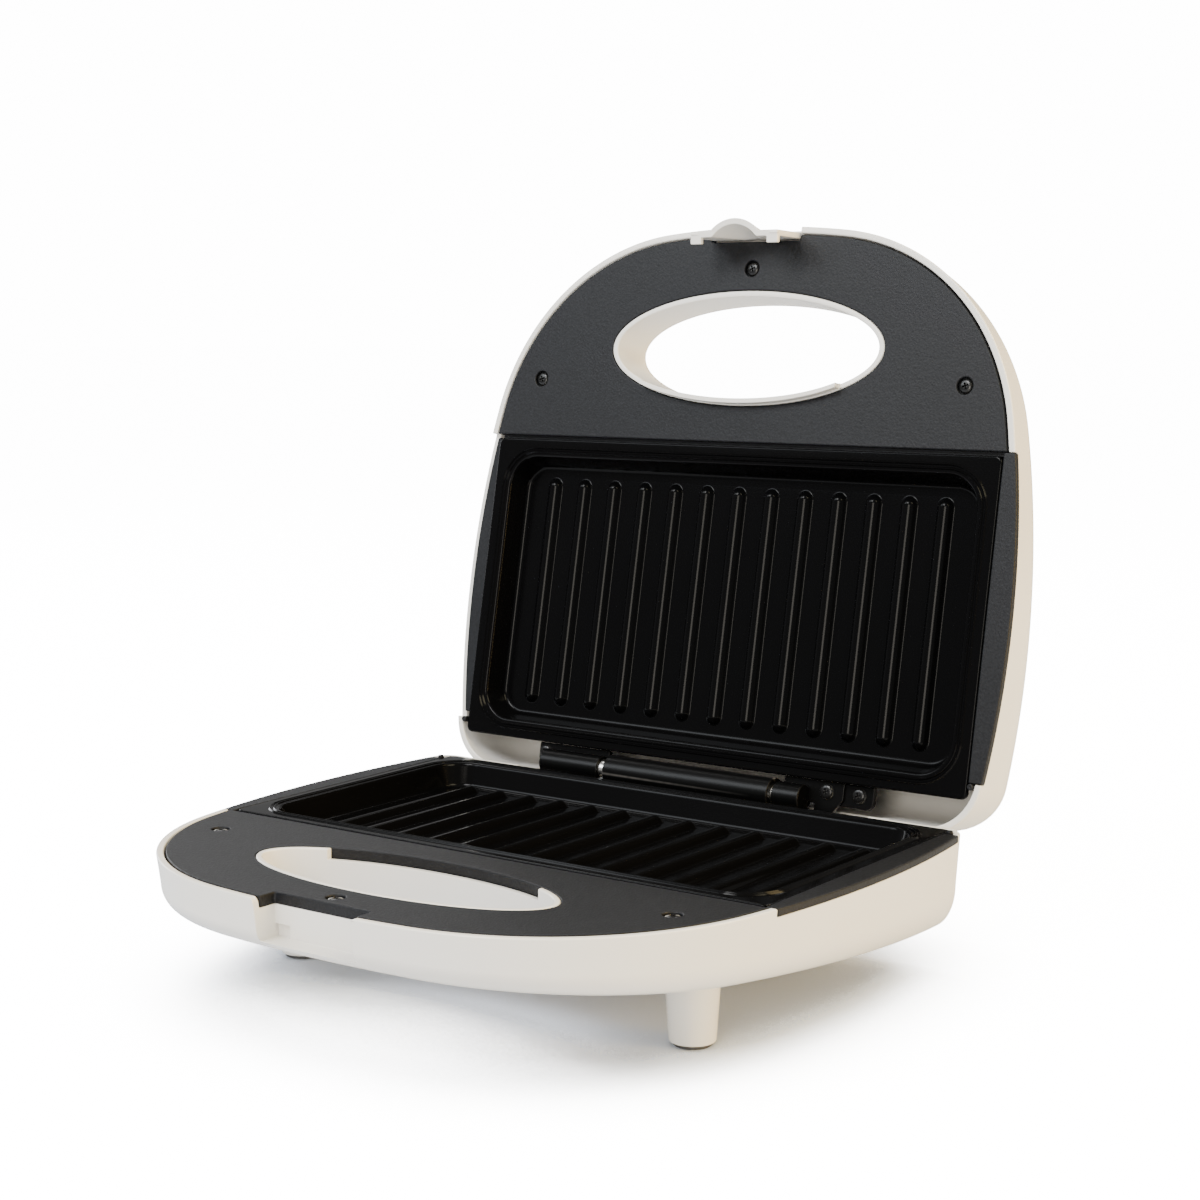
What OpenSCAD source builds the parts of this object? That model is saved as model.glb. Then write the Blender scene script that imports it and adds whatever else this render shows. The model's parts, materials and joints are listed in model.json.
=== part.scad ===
// Sandwich toaster: two moulded half shells joined by a knuckle hinge at the rear. Each half
// holds a ribbed grill plate in a frame, a heater, a heat shield and a handle cover.
// The model is shown with its lid open. Each half is drawn in its own frame, where x is across,
// y is the distance forward of the hinge axis and z is the depth below the plate's flange.

/* [Body outline] */
// Width of the body at its widest place
body_w = 236.2; // [216:0.2:260]
// Distance from the hinge axis to the front of the body
front_y = 206.4; // [196:0.2:226]
// Distance from the hinge axis to the widest place
widest_y = 66.8; // [56:0.2:80]
// Radius of the two front corners
corner_r = 84; // [70:0.5:90]
// How far the sides swell beyond the front corners
side_bulge = 5.1; // [3:0.1:8]
// How far the front edge swells beyond the front corners
front_bulge = 1.6; // [1:0.1:4]
// Length of the handle part, from the plate to the front
handle_len = 80.5; // [76:0.5:90]
// Distance from the hinge axis forward to the base's rear face
base_rear_y = 5.6; // [5.4:0.1:6.4]
// Radius of the base's rear corners
base_rear_r = 8; // [7:0.5:12]
// Distance from the hinge axis back to the lid's rear face
lid_rear_y = 6.2; // [6:0.1:7.4]
// Radius of the lid's rear corners
lid_rear_r = 21; // [16:0.5:26]

/* [Body section] */
// Height of the base plate's flange above the table
seat_h = 48.2; // [46:0.1:60]
// Gap between the two plates with the lid closed
plate_gap = 2; // [1.6:0.1:4]
// Height of the hinge axis above the base plate's flange
hinge_rise = 1.4; // [0.8:0.1:2]
// Angle to which the lid opens
lid_angle = 101.4; // [90:0.1:110]
// Depth of each half at the hinge axis
body_depth = 33.5; // [32.5:0.1:40]
// Slope of each half's outer face towards the front
belly_angle = 4.7; // [3:0.1:4.9]
// Wall thickness of the shells
wall = 2.4; // [2:0.1:2.6]
// How far the side walls lean inwards
wall_lean = 1.2; // [0.5:0.1:2]
// Share of the depth that the side walls take before they round off
wall_share = 0.55; // [0.4:0.01:0.6]
// Width of the rounding along the outer edge
edge_in = 8.5; // [6:0.5:10]

/* [Handle] */
// Distance from the front of the body to the middle of the hand hole
oval_back = 45.5; // [43:0.5:48]
// Half length of the hand hole in the cover
oval_a = 59.1; // [50:0.1:64]
// Half width of the hand hole in the cover
oval_b = 21.6; // [18:0.1:23]
// Wall of the sleeve that lines the hand hole
sleeve_t = 2.2; // [1.8:0.1:3]
// Half length of the interlocking lip of the two sleeves
lip_half_w = 43; // [34:0.5:46]
// Depth of the step in the base's sleeve
step_h = 3.6; // [3.2:0.1:4.2]
// Height of the lip on the lid's sleeve
lip_h = 3.4; // [2.6:0.1:3.6]
// Width of the white rim round the cover
rim_w = 2.85; // [2.8:0.05:3.6]
// Thickness of the cover
cover_t = 2.2; // [1.8:0.1:2.6]
// Depth of the skirt along the cover's edge
skirt_h = 3.6; // [3.2:0.1:4.2]
// Distance from the front of the body to the middle screw
mid_screw_back = 15.8; // [13.5:0.1:18]
// Distance from the front of the body to the side screws
side_screw_back = 58.1; // [54:0.1:62]
// Distance of the side screws from the middle line
side_screw_x = 91.8; // [86:0.1:94]

/* [Plate] */
// Width of the frame's side strip at the cover
strip_w = 4.45; // [3.9:0.05:6]
// Height of the strip's edge
strip_h = 2.3; // [2.2:0.1:3]
// Distance from the hinge axis to the rear end of the strips
strip_rear_y = 13; // [12:0.5:20]
// Height of the pegs that keep the two halves apart at the rear
peg_h = 0.8; // [0.5:0.1:0.9]
// Distance from the hinge axis to the plate's rear edge
plate_rear_y = 7.2; // [7:0.1:9]
// Thickness of the plate's flange
flange_t = 2.2; // [1.8:0.1:2.4]
// Width of the flange at the sides
flange_side = 7; // [6:0.1:9]
// Width of the flange at the front and the rear
flange_end = 6.5; // [6:0.1:9]
// Depth of the plate's recess
recess_h = 8.8; // [8:0.1:10]
// Corner radius of the recess
recess_r = 12.5; // [9:0.5:16]
// How far the recess wall slopes inwards
recess_slope = 3; // [2:0.1:5]
// Thickness of the recess floor
floor_t = 2.4; // [2:0.1:2.8]
// Distance between the ribs
rib_pitch = 14.2; // [12:0.1:18]
// Radius of the ribs
rib_r = 3; // [2.4:0.1:3.4]
// Height of the ribs above the recess floor
rib_h = 2.6; // [2:0.1:2.8]
// Gap between a rib's end and the recess floor's edge
rib_end_gap = 6.6; // [5:0.1:12]
// Slit between the plate and the cover
slit = 1.5; // [1:0.1:2]

/* [Heater] */
// Diameter of the heater tube
heater_d = 6; // [5:0.1:6.2]
// Distance between the heater's two legs
heater_span = 60; // [50:1:72]
// Distance from the middle line to the heater's open end
heater_reach = 84; // [70:1:88]
// Thickness of the heat shield
shield_t = 0.6; // [0.5:0.1:0.8]
// Width of the margin between the plate's edge and the heat shield
shield_margin = 18; // [16:0.5:24]

/* [Hinge] */
// Radius of the hinge pin
pin_r = 3.9; // [3.2:0.1:4.1]
// Radius of the base's sleeve
sleeve_r = 6; // [5.6:0.1:6.1]
// Radius of the lid's knuckles
knuckle_r = 5; // [4.9:0.1:5.2]
// Left end of the base's sleeve
sleeve_x0 = -37; // [-38:0.5:-30]
// Right end of the base's sleeve
sleeve_x1 = 35; // [30:0.5:35.5]
// Left end of the left knuckle
left_x0 = -67.4; // [-68:0.2:-60]
// Right end of the left knuckle
left_x1 = -40.4; // [-46:0.2:-39]
// Left end of the right knuckle
right_x0 = 36.2; // [36:0.2:38]
// Right end of the right knuckle
right_x1 = 47.2; // [44:0.2:48]
// Thickness of the hinge's plates
leaf_t = 2; // [1.8:0.1:2.2]
// Height of the base's hinge plate below the flange
leaf_h = 20; // [18:0.5:22]

// Width of the tabs that stand out from the left knuckle
tab_w = 6.3; // [6:0.1:7]
// Width of the tab at the end of the right bracket
right_tab_w = 11.5; // [8:0.1:12]
// Width of the right bracket's toe
toe_w = 11.4; // [10:0.1:12]
// Gap between the right knuckle and the toe
toe_gap = 2.4; // [2:0.1:3]
// How far the toe reaches behind the hinge axis
toe_y = 6; // [5.6:0.1:6.4]
// Distance of the brackets' screws from the hinge axis
bracket_screw_y = 3.4; // [3:0.1:3.6]
// Radius of the corners of the brackets' tabs
tab_r = 3; // [2:0.1:4]
// Distance between the screws in the middle of the base's hinge plate
leaf_mid_span = 26; // [20:1:40]
// Distance of the outer screws from the ends of the base's hinge plate
leaf_screw_end = 10; // [8:0.5:14]

/* [Latch] */
// Half width of the notches at the front
notch_half_w = 19.3; // [17:0.1:22]
// Depth of the base's notch behind the front of the body
base_notch = 10; // [9.6:0.1:10.6]
// Depth of the lid's notch behind the front of the body
lid_notch = 5.7; // [5.2:0.1:6]
// Depth of the ledge under which the latch hooks
ledge_z = 9.8; // [9:0.1:10]
// Distance from the front of the body to the latch's pivot
latch_back = 3.2; // [2.8:0.1:3.4]
// Distance from the lid plate's flange up to the latch's pivot
latch_z = 6.5; // [6.3:0.1:6.8]
// Radius of the latch's barrel
latch_r = 2.4; // [2.2:0.1:2.5]
// Radius of the latch's pin
latch_pin_r = 1.2; // [1:0.1:1.4]
// Distance from the pivot in to the latch's inner face
latch_in = 0.8; // [0.6:0.1:1]
// Thickness of the latch
latch_t = 2.2; // [2:0.1:2.3]
// How far the latch's hooks reach inwards
hook_in = 2.4; // [2.2:0.1:2.6]
// Thickness of the latch's hooks
hook_t = 1.8; // [1.5:0.1:2]
// Width of each hook
hook_w = 4.6; // [4:0.1:7]
// Angle at which the latch leans inwards when it holds the lid shut
latch_lean = 12.5; // [11:0.5:12.5]
// Angle by which the latch hangs out from that at rest
latch_rest = 3.7; // [3.4:0.1:6]
// Radius of the finger arch in the latch
arch_r = 12.2; // [10:0.2:14]
// Height of the finger arch
arch_h = 4.6; // [3.6:0.1:5.4]

/* [Feet] */
// Distance of the front feet from the middle line
front_foot_x = 80.8; // [70:0.2:84]
// Distance of the front feet from the hinge axis
front_foot_y = 121.2; // [110:0.2:130]
// Distance of the rear feet from the middle line
rear_foot_x = 64; // [56:0.5:72]
// Distance of the rear feet from the hinge axis
rear_foot_y = 18; // [16:0.5:34]
// Radius of a foot where it leaves the base
foot_top_r = 10; // [9:0.1:11]
// Radius of a foot at its lower end
foot_end_r = 8; // [7.6:0.1:9]
// Radius of the rubber pads
pad_r = 6.4; // [5:0.1:6.6]
// How far the pads stand below the feet
pad_out = 1.4; // [1:0.1:2]
// Depth of the pockets that hold the pads
pad_seat = 2; // [1.5:0.1:3]

/* [Inner parts] */
// Distance of the heat shield's posts from the middle line
shield_post_x = 40; // [34:0.5:46]
// Distance of the heat shield's posts from the plate's middle
shield_post_y = 15; // [12:0.5:18]
// Radius of the thermostat
thermostat_r = 7.5; // [6:0.1:8]
// Height of the thermostat
thermostat_h = 8.4; // [7:0.1:9]
// Length of the thermal fuse
fuse_len = 11; // [9:0.5:14]
// Length of the terminal block
block_w = 22; // [18:0.5:26]
// Depth of the terminal block
block_d = 12; // [10:0.5:14]
// Distance of the terminal block from the middle line
block_x = 46; // [40:0.5:60]
// Distance of the terminal block from the hinge axis
block_y = 30; // [29:0.5:36]
// Distance of the lead's bushing from the left side of the body
bushing_side = 32; // [30:0.5:36]
// Depth of the lead's bushing below the flange
bushing_z = 19; // [17:0.5:20]
// Radius of the lead's bushing in the wall
bushing_r = 6; // [5:0.1:6.4]
// Radius of the bore for the lead
bushing_bore_r = 3.3; // [2.8:0.1:4]
// Radius of the lamps' lenses
lens_r = 4; // [3:0.1:5]
// Distance of the lamps from the middle line
lamp_x = 12; // [8:0.5:20]
// Distance of the lamps from the front of the body
lamp_back = 78.4; // [77:0.2:80]

/* [Fasteners and fits] */
// Radius of the screw heads
head_r = 2.85; // [2.4:0.05:3]
// Height of the screw heads
head_h = 1.2; // [1:0.1:1.4]
// Radius of the screw shanks
shank_r = 1.5; // [1.2:0.1:1.6]
// Length of the cover screws and of the lid's hinge screws
long_screw = 10; // [8:0.5:11]
// Length of the frame screws and of the base's hinge screws
short_screw = 7.5; // [6:0.5:8]
// Radius of the shells' screw posts
post_r = 3.6; // [3.2:0.1:4]
// Clearance between pieces that are fixed together
gap = 0.2; // [0.1:0.05:0.3]
// Clearance between pieces that move past each other
run_gap = 0.4; // [0.3:0.05:0.6]
// Running clearance of a pin in its bore
pin_fit = 0.05; // [0.02:0.01:0.08]

/* [Hidden] */
$fn = 48;

white = [0.93, 0.92, 0.89];
charcoal = [0.22, 0.22, 0.22];
black = [0.08, 0.08, 0.08];
steel = [0.75, 0.75, 0.76];
big = 600;

hinge_z = seat_h + hinge_rise;
lid_seat_h = plate_gap - hinge_rise;

// The outline: arcs that run smoothly into each other.
function tangent_r(reach, side, r) = (reach * reach + side * side - r * r) / (2 * (reach - r));
half_w = body_w / 2;
corner_x = half_w - corner_r - side_bulge;
corner_y = front_y - corner_r - front_bulge;
front_arc_r = tangent_r(corner_r + front_bulge, corner_x, corner_r);
side_arc_r = tangent_r(corner_r + side_bulge, corner_y - widest_y, corner_r);
front_angle = atan2(corner_x, front_arc_r - corner_r - front_bulge);
side_angle = atan2(corner_y - widest_y, side_arc_r - corner_r - side_bulge);
side_arc_x = half_w - side_arc_r;
function side_x(y) = side_arc_x + sqrt(side_arc_r * side_arc_r - pow(y - widest_y, 2));

function arc(x, y, r, from, to, steps, first = 0) = [for (i = [first:steps])
    let (a = from + (to - from) * i / steps) [x + r * cos(a), y + r * sin(a)]];
function half_outline(rear, rear_r, in) = let (
    r = max(rear_r - in, 1),
    y = rear + in + r,
    reach = side_arc_r - in - r,
    x = side_arc_x + sqrt(reach * reach - pow(widest_y - y, 2)),
    turn = -asin((widest_y - y) / reach))
    concat(
        arc(0, front_y - front_arc_r, front_arc_r - in, 90, 90 - front_angle, 3),
        arc(corner_x, corner_y, corner_r - in, 90 - front_angle, side_angle, 14, 1),
        arc(side_arc_x, widest_y, side_arc_r - in, side_angle, turn, 8, 1),
        arc(x, y, r, turn, -90, 6, 1));
function outline(rear, rear_r, in) = let (h = half_outline(rear, rear_r, in))
    concat(h, [for (i = [len(h) - 1:-1:1]) [-h[i][0], h[i][1]]]);

// The section: a leaning wall, an elliptical rounding and a sloping flat face.
function depth(y) = body_depth - y * tan(belly_angle);
function rounding(a) = [wall_lean + edge_in * (1 - cos(a)),
    wall_share + (1 - wall_share) * sin(a)];
outer_section = concat([[0, 0]], [for (a = [0:15:90]) rounding(a)]);
inner_section = concat([for (a = [90:-30:0]) rounding(a)], [[0, 0]]);

// The hinge axis lies behind the middle of the open toaster.
lid_back = max([for (s = outer_section) let (y = front_y - s[0])
    (lid_seat_h + depth(y) * s[1]) * sin(lid_angle) - y * cos(lid_angle)]);
hinge_y = (front_y - lid_back) / 2;

plate_half_w = side_x(front_y - handle_len) - strip_w;
cover_rear = front_y - handle_len;
plate_front = cover_rear - slit;
plate_mid = (plate_front + plate_rear_y) / 2;
plate_half_d = (plate_front - plate_rear_y) / 2;
recess_half_w = plate_half_w - flange_side;
recess_half_d = plate_half_d - flange_end;
plate_back = recess_h + floor_t;
rib_half_len = recess_half_d - recess_slope - rib_end_gap - rib_r / 2;
rib_count = floor((recess_half_w - recess_slope - rib_r - rib_end_gap) / rib_pitch);
oval_y = front_y - oval_back;
rim_in = rim_w + gap;
rim_z = strip_h + gap;
frame_z = flange_t;
frame_h = 2.6;
frame_back = frame_z + frame_h;
screw_deep = long_screw + 1;
shield_z = plate_back + heater_d + 2 * gap;
cover_screws = [[0, front_y - mid_screw_back], [side_screw_x, front_y - side_screw_back],
    [-side_screw_x, front_y - side_screw_back]];
frame_screw_in = 4.6;
frame_screws = [for (sx = [-1, 1], y = [plate_rear_y + frame_screw_in,
    plate_front - frame_screw_in]) [sx * (plate_half_w - frame_screw_in), y]];
shield_post_r = 4;
shield_posts = [for (sx = [-1, 1], sy = [-1, 1]) [sx * shield_post_x,
    plate_mid + sy * shield_post_y]];

// Moves a half from its own frame to its place in the room.
module on_base() {
    translate([0, hinge_y, seat_h])
        rotate([180, 0, 0])
            children();
}
module on_lid() {
    translate([0, hinge_y, hinge_z])
        rotate([-lid_angle, 0, 0])
            translate([0, 0, lid_seat_h])
                mirror([0, 1, 0])
                    children();
}

// A solid skinned over rings of points, from its inner face to its outer face.
module ring_solid(rings) {
    count = len(rings[0]);
    last = len(rings) - 1;
    points = [for (ring = rings) each ring];
    bands = [for (j = [0:last - 1], k = [0:count - 1]) let (
        a = j * count + k,
        b = j * count + (k + 1) % count)
        each [[a, b, b + count], [a, b + count, a + count]]];
    floor_cap = [for (k = [count - 1:-1:0]) k];
    outer_cap = [for (k = [0:count - 1]) last * count + k];
    polyhedron(points, concat([floor_cap], bands, [outer_cap]), convexity = 8);
}

module shell_skin(rear, rear_r) {
    inner = [for (s = inner_section) [for (p = outline(rear, rear_r, s[0] + wall))
        [p[0], p[1], (depth(p[1]) - wall) * s[1]]]];
    outer = [for (s = outer_section) [for (p = outline(rear, rear_r, s[0]))
        [p[0], p[1], depth(p[1]) * s[1]]]];
    ring_solid(concat(inner, outer));
}

// The full volume of a half, to a given distance inside its outer face.
module core(rear, rear_r, in = wall / 2) {
    ring_solid([for (s = outer_section) [for (p = outline(rear, rear_r, s[0] + in))
        [p[0], p[1], (depth(p[1]) - in) * s[1]]]]);
}

module post(x, y, top, r = post_r) {
    translate([x, y, top])
        difference() {
            cylinder(r = r, h = body_depth);
            translate([0, 0, -1])
                cylinder(r = shank_r + pin_fit, h = screw_deep + 1);
        }
}
module posts(places, top) {
    for (s = places)
        post(s[0], s[1], top + (s[2] == undef ? 0 : s[2]));
}

function ellipse(a, b) = [for (i = [0:59]) [a * cos(6 * i), b * sin(6 * i)]];
module oval(in) {
    translate([0, oval_y])
        polygon(ellipse(oval_a - in, oval_b - in));
}

module sleeve(step) {
    difference() {
        linear_extrude(body_depth)
            difference() {
                oval(gap);
                oval(gap + sleeve_t);
            }
        translate([-lip_half_w, oval_y - oval_b - 1, -1])
            cube([2 * lip_half_w, oval_b + 1, step + 1]);
    }
}

module rim_rebate() {
    translate([-half_w - 1, strip_rear_y - gap, -1])
        cube([2 * half_w + 2, cover_rear - strip_rear_y + gap, rim_z + 1]);
}

// A block inside the front wall, from a given distance behind the body's front.
module front_block(half, back, top) {
    translate([-half, front_y - back, top])
        cube([2 * half, back, body_depth]);
}
module notch(back, from_z, to_z) {
    translate([-notch_half_w, front_y - back, from_z])
        cube([2 * notch_half_w, back + 1, to_z - from_z]);
}

window_end = 2.7;
hinge_x0 = left_x0 - tab_w - window_end;
hinge_x1 = right_x1 + toe_gap + toe_w + right_tab_w + window_end;
base_window_h = 6.4;
lid_window_h = 8.6;
module hinge_window(from_y, to_y, deep) {
    translate([hinge_x0, from_y, -1])
        cube([hinge_x1 - hinge_x0, to_y - from_y, deep + 1]);
}

bushing_x = bushing_side - half_w;
bushing_boss_r = bushing_r + 3;
bushing_face = base_rear_y + 0.4;
// The hinge: the lid's toe comes down on the base's stop when the lid is open.
pin_end = 0.8;
bracket_z = 2.6;
bracket_end = plate_rear_y - gap;
bracket_rear = 1.2;
tab_step = 1;
left_tab_x = left_x0 - tab_w;
toe_x0 = right_x1 + toe_gap;
toe_x1 = toe_x0 + toe_w;
right_tab_x = toe_x1 + right_tab_w;
bracket_screws = [[left_x0 - tab_w / 2, bracket_screw_y, 0],
    [toe_x0 + toe_w / 2 - tab_step, bracket_screw_y, 0],
    [toe_x1 + right_tab_w / 2, bracket_screw_y, tab_step]];
toe_depth = toe_y * sin(lid_angle) - (bracket_z + leaf_t + lid_seat_h) * cos(lid_angle);
stop_z = toe_depth + run_gap - hinge_rise;
stop_reach = 4.6;
leaf_half_w = 62;
leaf_screw_z = 13;
leaf_y = base_rear_y - gap - leaf_t;
leaf_screw_x = [leaf_half_w - leaf_screw_end, leaf_mid_span / 2];
leaf_screws = [for (s = [-1, 1], x = leaf_screw_x) [s * x, leaf_screw_z]];
pad_h = 13.6;
foot_root = body_depth * wall_share;
foot_places = concat(
    [for (s = [-1, 1]) [s * front_foot_x, front_foot_y]],
    [for (s = [-1, 1]) [s * rear_foot_x, rear_foot_y]]);
block_post_r = 2.4;
block_post_h = 1.6;
block_top = shield_z + shield_t + 4 * gap;
block_h = depth(block_y) - wall - block_post_h - block_top;
terminal_pitch = 7;
terminal_x = [-terminal_pitch, 0, terminal_pitch];
terminal_hole_r = 1.6;

// The latch swings about a pin at the lid's front. Its hooks pass the base's notch while it
// hangs at rest, and go under a ledge there when it is pushed in.
latch_y = front_y - latch_back;
hook_top = (ledge_z + plate_gap + run_gap + latch_z + (latch_in + hook_in) * sin(latch_lean))
    / cos(latch_lean);
latch_len = hook_top + hook_t;
latch_half_w = notch_half_w - 1.5 * run_gap;
latch_room = latch_z + latch_r + run_gap;
notch_floor = norm([latch_in + hook_in, latch_len]) + run_gap - latch_z - plate_gap;
catch_back = latch_back + (latch_in + hook_in) * cos(latch_lean)
    + latch_len * sin(latch_lean) + run_gap;
catch_wall = 2;
hook_pocket_w = hook_w + 3 * run_gap;

module base_shell() {
    color(white)
        on_base()
            difference() {
                union() {
                    shell_skin(base_rear_y, base_rear_r);
                    intersection() {
                        core(base_rear_y, base_rear_r);
                        union() {
                            sleeve(step_h);
                            posts(cover_screws, skirt_h);
                            posts(frame_screws, frame_back);
                            front_block(notch_half_w + wall, catch_back + catch_wall, skirt_h);
                            for (x = [terminal_x[0], terminal_x[2]])
                                post(x - block_x, block_y, block_top + block_h, block_post_r);
                        }
                    }
                    leaf_pad();
                    translate([bushing_x, bushing_face, bushing_z])
                        rotate([-90, 0, 0])
                            cylinder(r = bushing_boss_r, h = 2 * wall);
                }
                translate([0, 0, -1])
                    linear_extrude(body_depth + 2)
                        oval(gap + sleeve_t);
                rim_rebate();
                hinge_window(0, plate_rear_y, base_window_h);
                translate([-plate_half_w - gap, plate_rear_y - gap, -1])
                    cube([2 * (plate_half_w + gap), 2 * wall, frame_back + gap + 1]);
                notch(base_notch, -1, notch_floor);
                for (s = [-1, 1])
                    translate([s * (notch_half_w - hook_pocket_w / 2) - hook_pocket_w / 2,
                        front_y - catch_back, ledge_z])
                        cube([hook_pocket_w, catch_back, notch_floor - ledge_z]);
                for (s = leaf_screws)
                    translate([s[0], 0, s[1]])
                        rotate([-90, 0, 0])
                            cylinder(r = shank_r + pin_fit, h = leaf_y + short_screw + 1);
                translate([bushing_x, 0, bushing_z])
                    rotate([-90, 0, 0])
                        cylinder(r = bushing_r + gap, h = 20);
            }
}

// The thickened rear wall that the hinge leaf is screwed to.
module leaf_pad() {
    translate([-leaf_half_w - 2, leaf_y + leaf_t, base_window_h])
        cube([2 * leaf_half_w + 4, wall, pad_h]);
    for (s = leaf_screws)
        translate([s[0], leaf_y + leaf_t, s[1]])
            rotate([-90, 0, 0])
                cylinder(r = post_r, h = short_screw);
}

module lid_shell() {
    color(white)
        on_lid()
            difference() {
                union() {
                    shell_skin(-lid_rear_y, lid_rear_r);
                    intersection() {
                        core(-lid_rear_y, lid_rear_r);
                        union() {
                            sleeve(0);
                            posts(cover_screws, skirt_h);
                            posts(frame_screws, frame_back);
                            posts(bracket_screws, bracket_z + leaf_t);
                            front_block(notch_half_w + latch_pin_end + wall, lid_block_back,
                                skirt_h + gap);
                        }
                    }
                    lid_lip();
                }
                translate([0, 0, -lip_h - 1])
                    linear_extrude(body_depth + lip_h + 2)
                        oval(gap + sleeve_t);
                rim_rebate();
                hinge_window(-lid_rear_y - 1, -lid_rear_y + wall + 1, lid_window_h);
                notch(lid_notch, -1, latch_room);
                notch(latch_back + latch_r + run_gap, skirt_h, latch_room);
                translate([-notch_half_w - latch_pin_end - gap, latch_y, latch_z])
                    rotate([0, 90, 0])
                        cylinder(r = latch_pin_r + pin_fit,
                            h = 2 * (notch_half_w + latch_pin_end + gap));
                for (s = lamp_places)
                    translate([s[0], s[1], 0])
                        cylinder(r = lens_r + gap, h = big);
            }
}

module lid_lip() {
    intersection() {
        translate([0, 0, -lip_h])
            linear_extrude(lip_h + 1)
                difference() {
                    oval(gap + run_gap);
                    oval(gap + sleeve_t);
                }
        translate([-lip_half_w + run_gap, oval_y - oval_b, -lip_h])
            cube([2 * (lip_half_w - run_gap), oval_b - run_gap, lip_h + 1]);
    }
}

skirt_t = 1.6;
head_seat = 1.8;

// The handle cover: a plate with a skirt along its edge and cups for its screws.
module cover_shape(in, rear, rear_r, back) {
    difference() {
        intersection() {
            polygon(outline(rear, rear_r, rim_in + in));
            translate([-half_w, cover_rear + in])
                square([2 * half_w, handle_len]);
        }
        translate([-notch_half_w - in, front_y - back - in])
            square([2 * notch_half_w + 2 * in, back + in]);
    }
}

module handle_cover(rear, rear_r, back) {
    cup_r = head_r + gap + 1.4;
    difference() {
        union() {
            linear_extrude(cover_t)
                cover_shape(0, rear, rear_r, back);
            linear_extrude(skirt_h)
                difference() {
                    cover_shape(0, rear, rear_r, back);
                    cover_shape(skirt_t, rear, rear_r, back);
                }
            linear_extrude(skirt_h)
                oval(-skirt_t);
            for (s = cover_screws)
                translate([s[0], s[1], 0])
                    cylinder(r = cup_r, h = skirt_h);
        }
        translate([0, 0, -1])
            linear_extrude(skirt_h + 2)
                oval(0);
        for (s = cover_screws)
            translate([s[0], s[1], -1]) {
                cylinder(r = shank_r + gap, h = skirt_h + 2);
                cylinder(r = head_r + gap, h = head_seat + 1);
            }
    }
}

module base_handle_cover() {
    color(charcoal)
        on_base()
            handle_cover(base_rear_y, base_rear_r, base_notch);
}
module lid_handle_cover() {
    color(charcoal)
        on_lid()
            handle_cover(-lid_rear_y, lid_rear_r, lid_notch);
}

// A pan head screw along z, with its head's underside at the origin and a cross recess.
module screw(length) {
    slot_w = 0.7;
    slot_reach = 0.55 * head_r;
    difference() {
        union() {
            translate([0, 0, -head_h])
                cylinder(r1 = head_r * 0.8, r2 = head_r, h = head_h);
            cylinder(r = shank_r, h = length);
        }
        for (a = [0, 90])
            rotate([0, 0, a])
                translate([-slot_reach, -slot_w / 2, -head_h - 1])
                    cube([2 * slot_reach, slot_w, 1 + head_h / 2]);
    }
}
module screws(places, z, length) {
    for (s = places)
        translate([s[0], s[1], z + (s[2] == undef ? 0 : s[2])])
            screw(length);
}

module base_cover_screws() {
    color(black)
        on_base()
            screws(cover_screws, head_seat, long_screw);
}
module lid_cover_screws() {
    color(black)
        on_lid()
            screws(cover_screws, head_seat, long_screw);
}

// The frame round a plate: side strips in view and a ledge under the plate's flange.
frame_screw_z = frame_z + head_h + gap;
ledge_w = 3.8;
peg_r = 1.1;
peg_in = 1.4;
module plate_frame(rear, rear_r) {
    difference() {
        union() {
            intersection() {
                linear_extrude(strip_h)
                    polygon(outline(rear, rear_r, 0));
                for (s = [-1, 1])
                    translate([s * half_w, (strip_rear_y + cover_rear - gap) / 2, 0])
                        cube([2 * (half_w - plate_half_w + ledge_w),
                            cover_rear - strip_rear_y - gap, big], center = true);
            }
            linear_extrude(frame_back)
                frame_shape(rear, rear_r);
            for (s = [-1, 1])
                translate([s * (plate_half_w + peg_in), strip_rear_y - peg_r, -peg_h])
                    cylinder(r = peg_r, h = peg_h + frame_back);
        }
        translate([-plate_half_w - gap, 0, -1])
            cube([2 * (plate_half_w + gap), cover_rear + 1, frame_z + 1]);
        for (s = frame_screws)
            translate([s[0], s[1], 0]) {
                cylinder(r = shank_r + gap, h = frame_back + 1);
                cylinder(r = head_r + gap, h = frame_screw_z);
            }
    }
}

module frame_shape(rear, rear_r) {
    difference() {
        intersection() {
            polygon(outline(rear, rear_r, rim_in));
            translate([-half_w, plate_rear_y])
                square([2 * half_w, plate_front - plate_rear_y]);
        }
        translate([0, plate_mid])
            polygon(rounded(plate_half_w - ledge_w, plate_half_d - ledge_w, recess_r));
    }
}

module base_plate_frame() {
    color(charcoal)
        on_base()
            plate_frame(base_rear_y, base_rear_r);
}
module lid_plate_frame() {
    color(charcoal)
        on_lid()
            plate_frame(-lid_rear_y, lid_rear_r);
}

module base_frame_screws() {
    color(steel)
        on_base()
            screws(frame_screws, frame_screw_z, short_screw);
}
module lid_frame_screws() {
    color(steel)
        on_lid()
            screws(frame_screws, frame_screw_z, short_screw);
}

// The grill plate: a flange with two fine beads, a sloping recess and rounded ribs.
function rounded(half_x, half_y, r) = [for (q = [[1, 1, 90], [1, -1, 0], [-1, -1, -90],
    [-1, 1, -180]], i = [0:6]) let (a = q[2] - 15 * i)
    [q[0] * (half_x - r) + r * cos(a), q[1] * (half_y - r) + r * sin(a)]];
function plate_ring(half_x, half_y, r, z) = [for (p = rounded(half_x, half_y, r))
    [p[0], plate_mid + p[1], z]];
function recess_ring(out, z) = plate_ring(recess_half_w + out, recess_half_d + out,
    recess_r + out, z);

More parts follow.
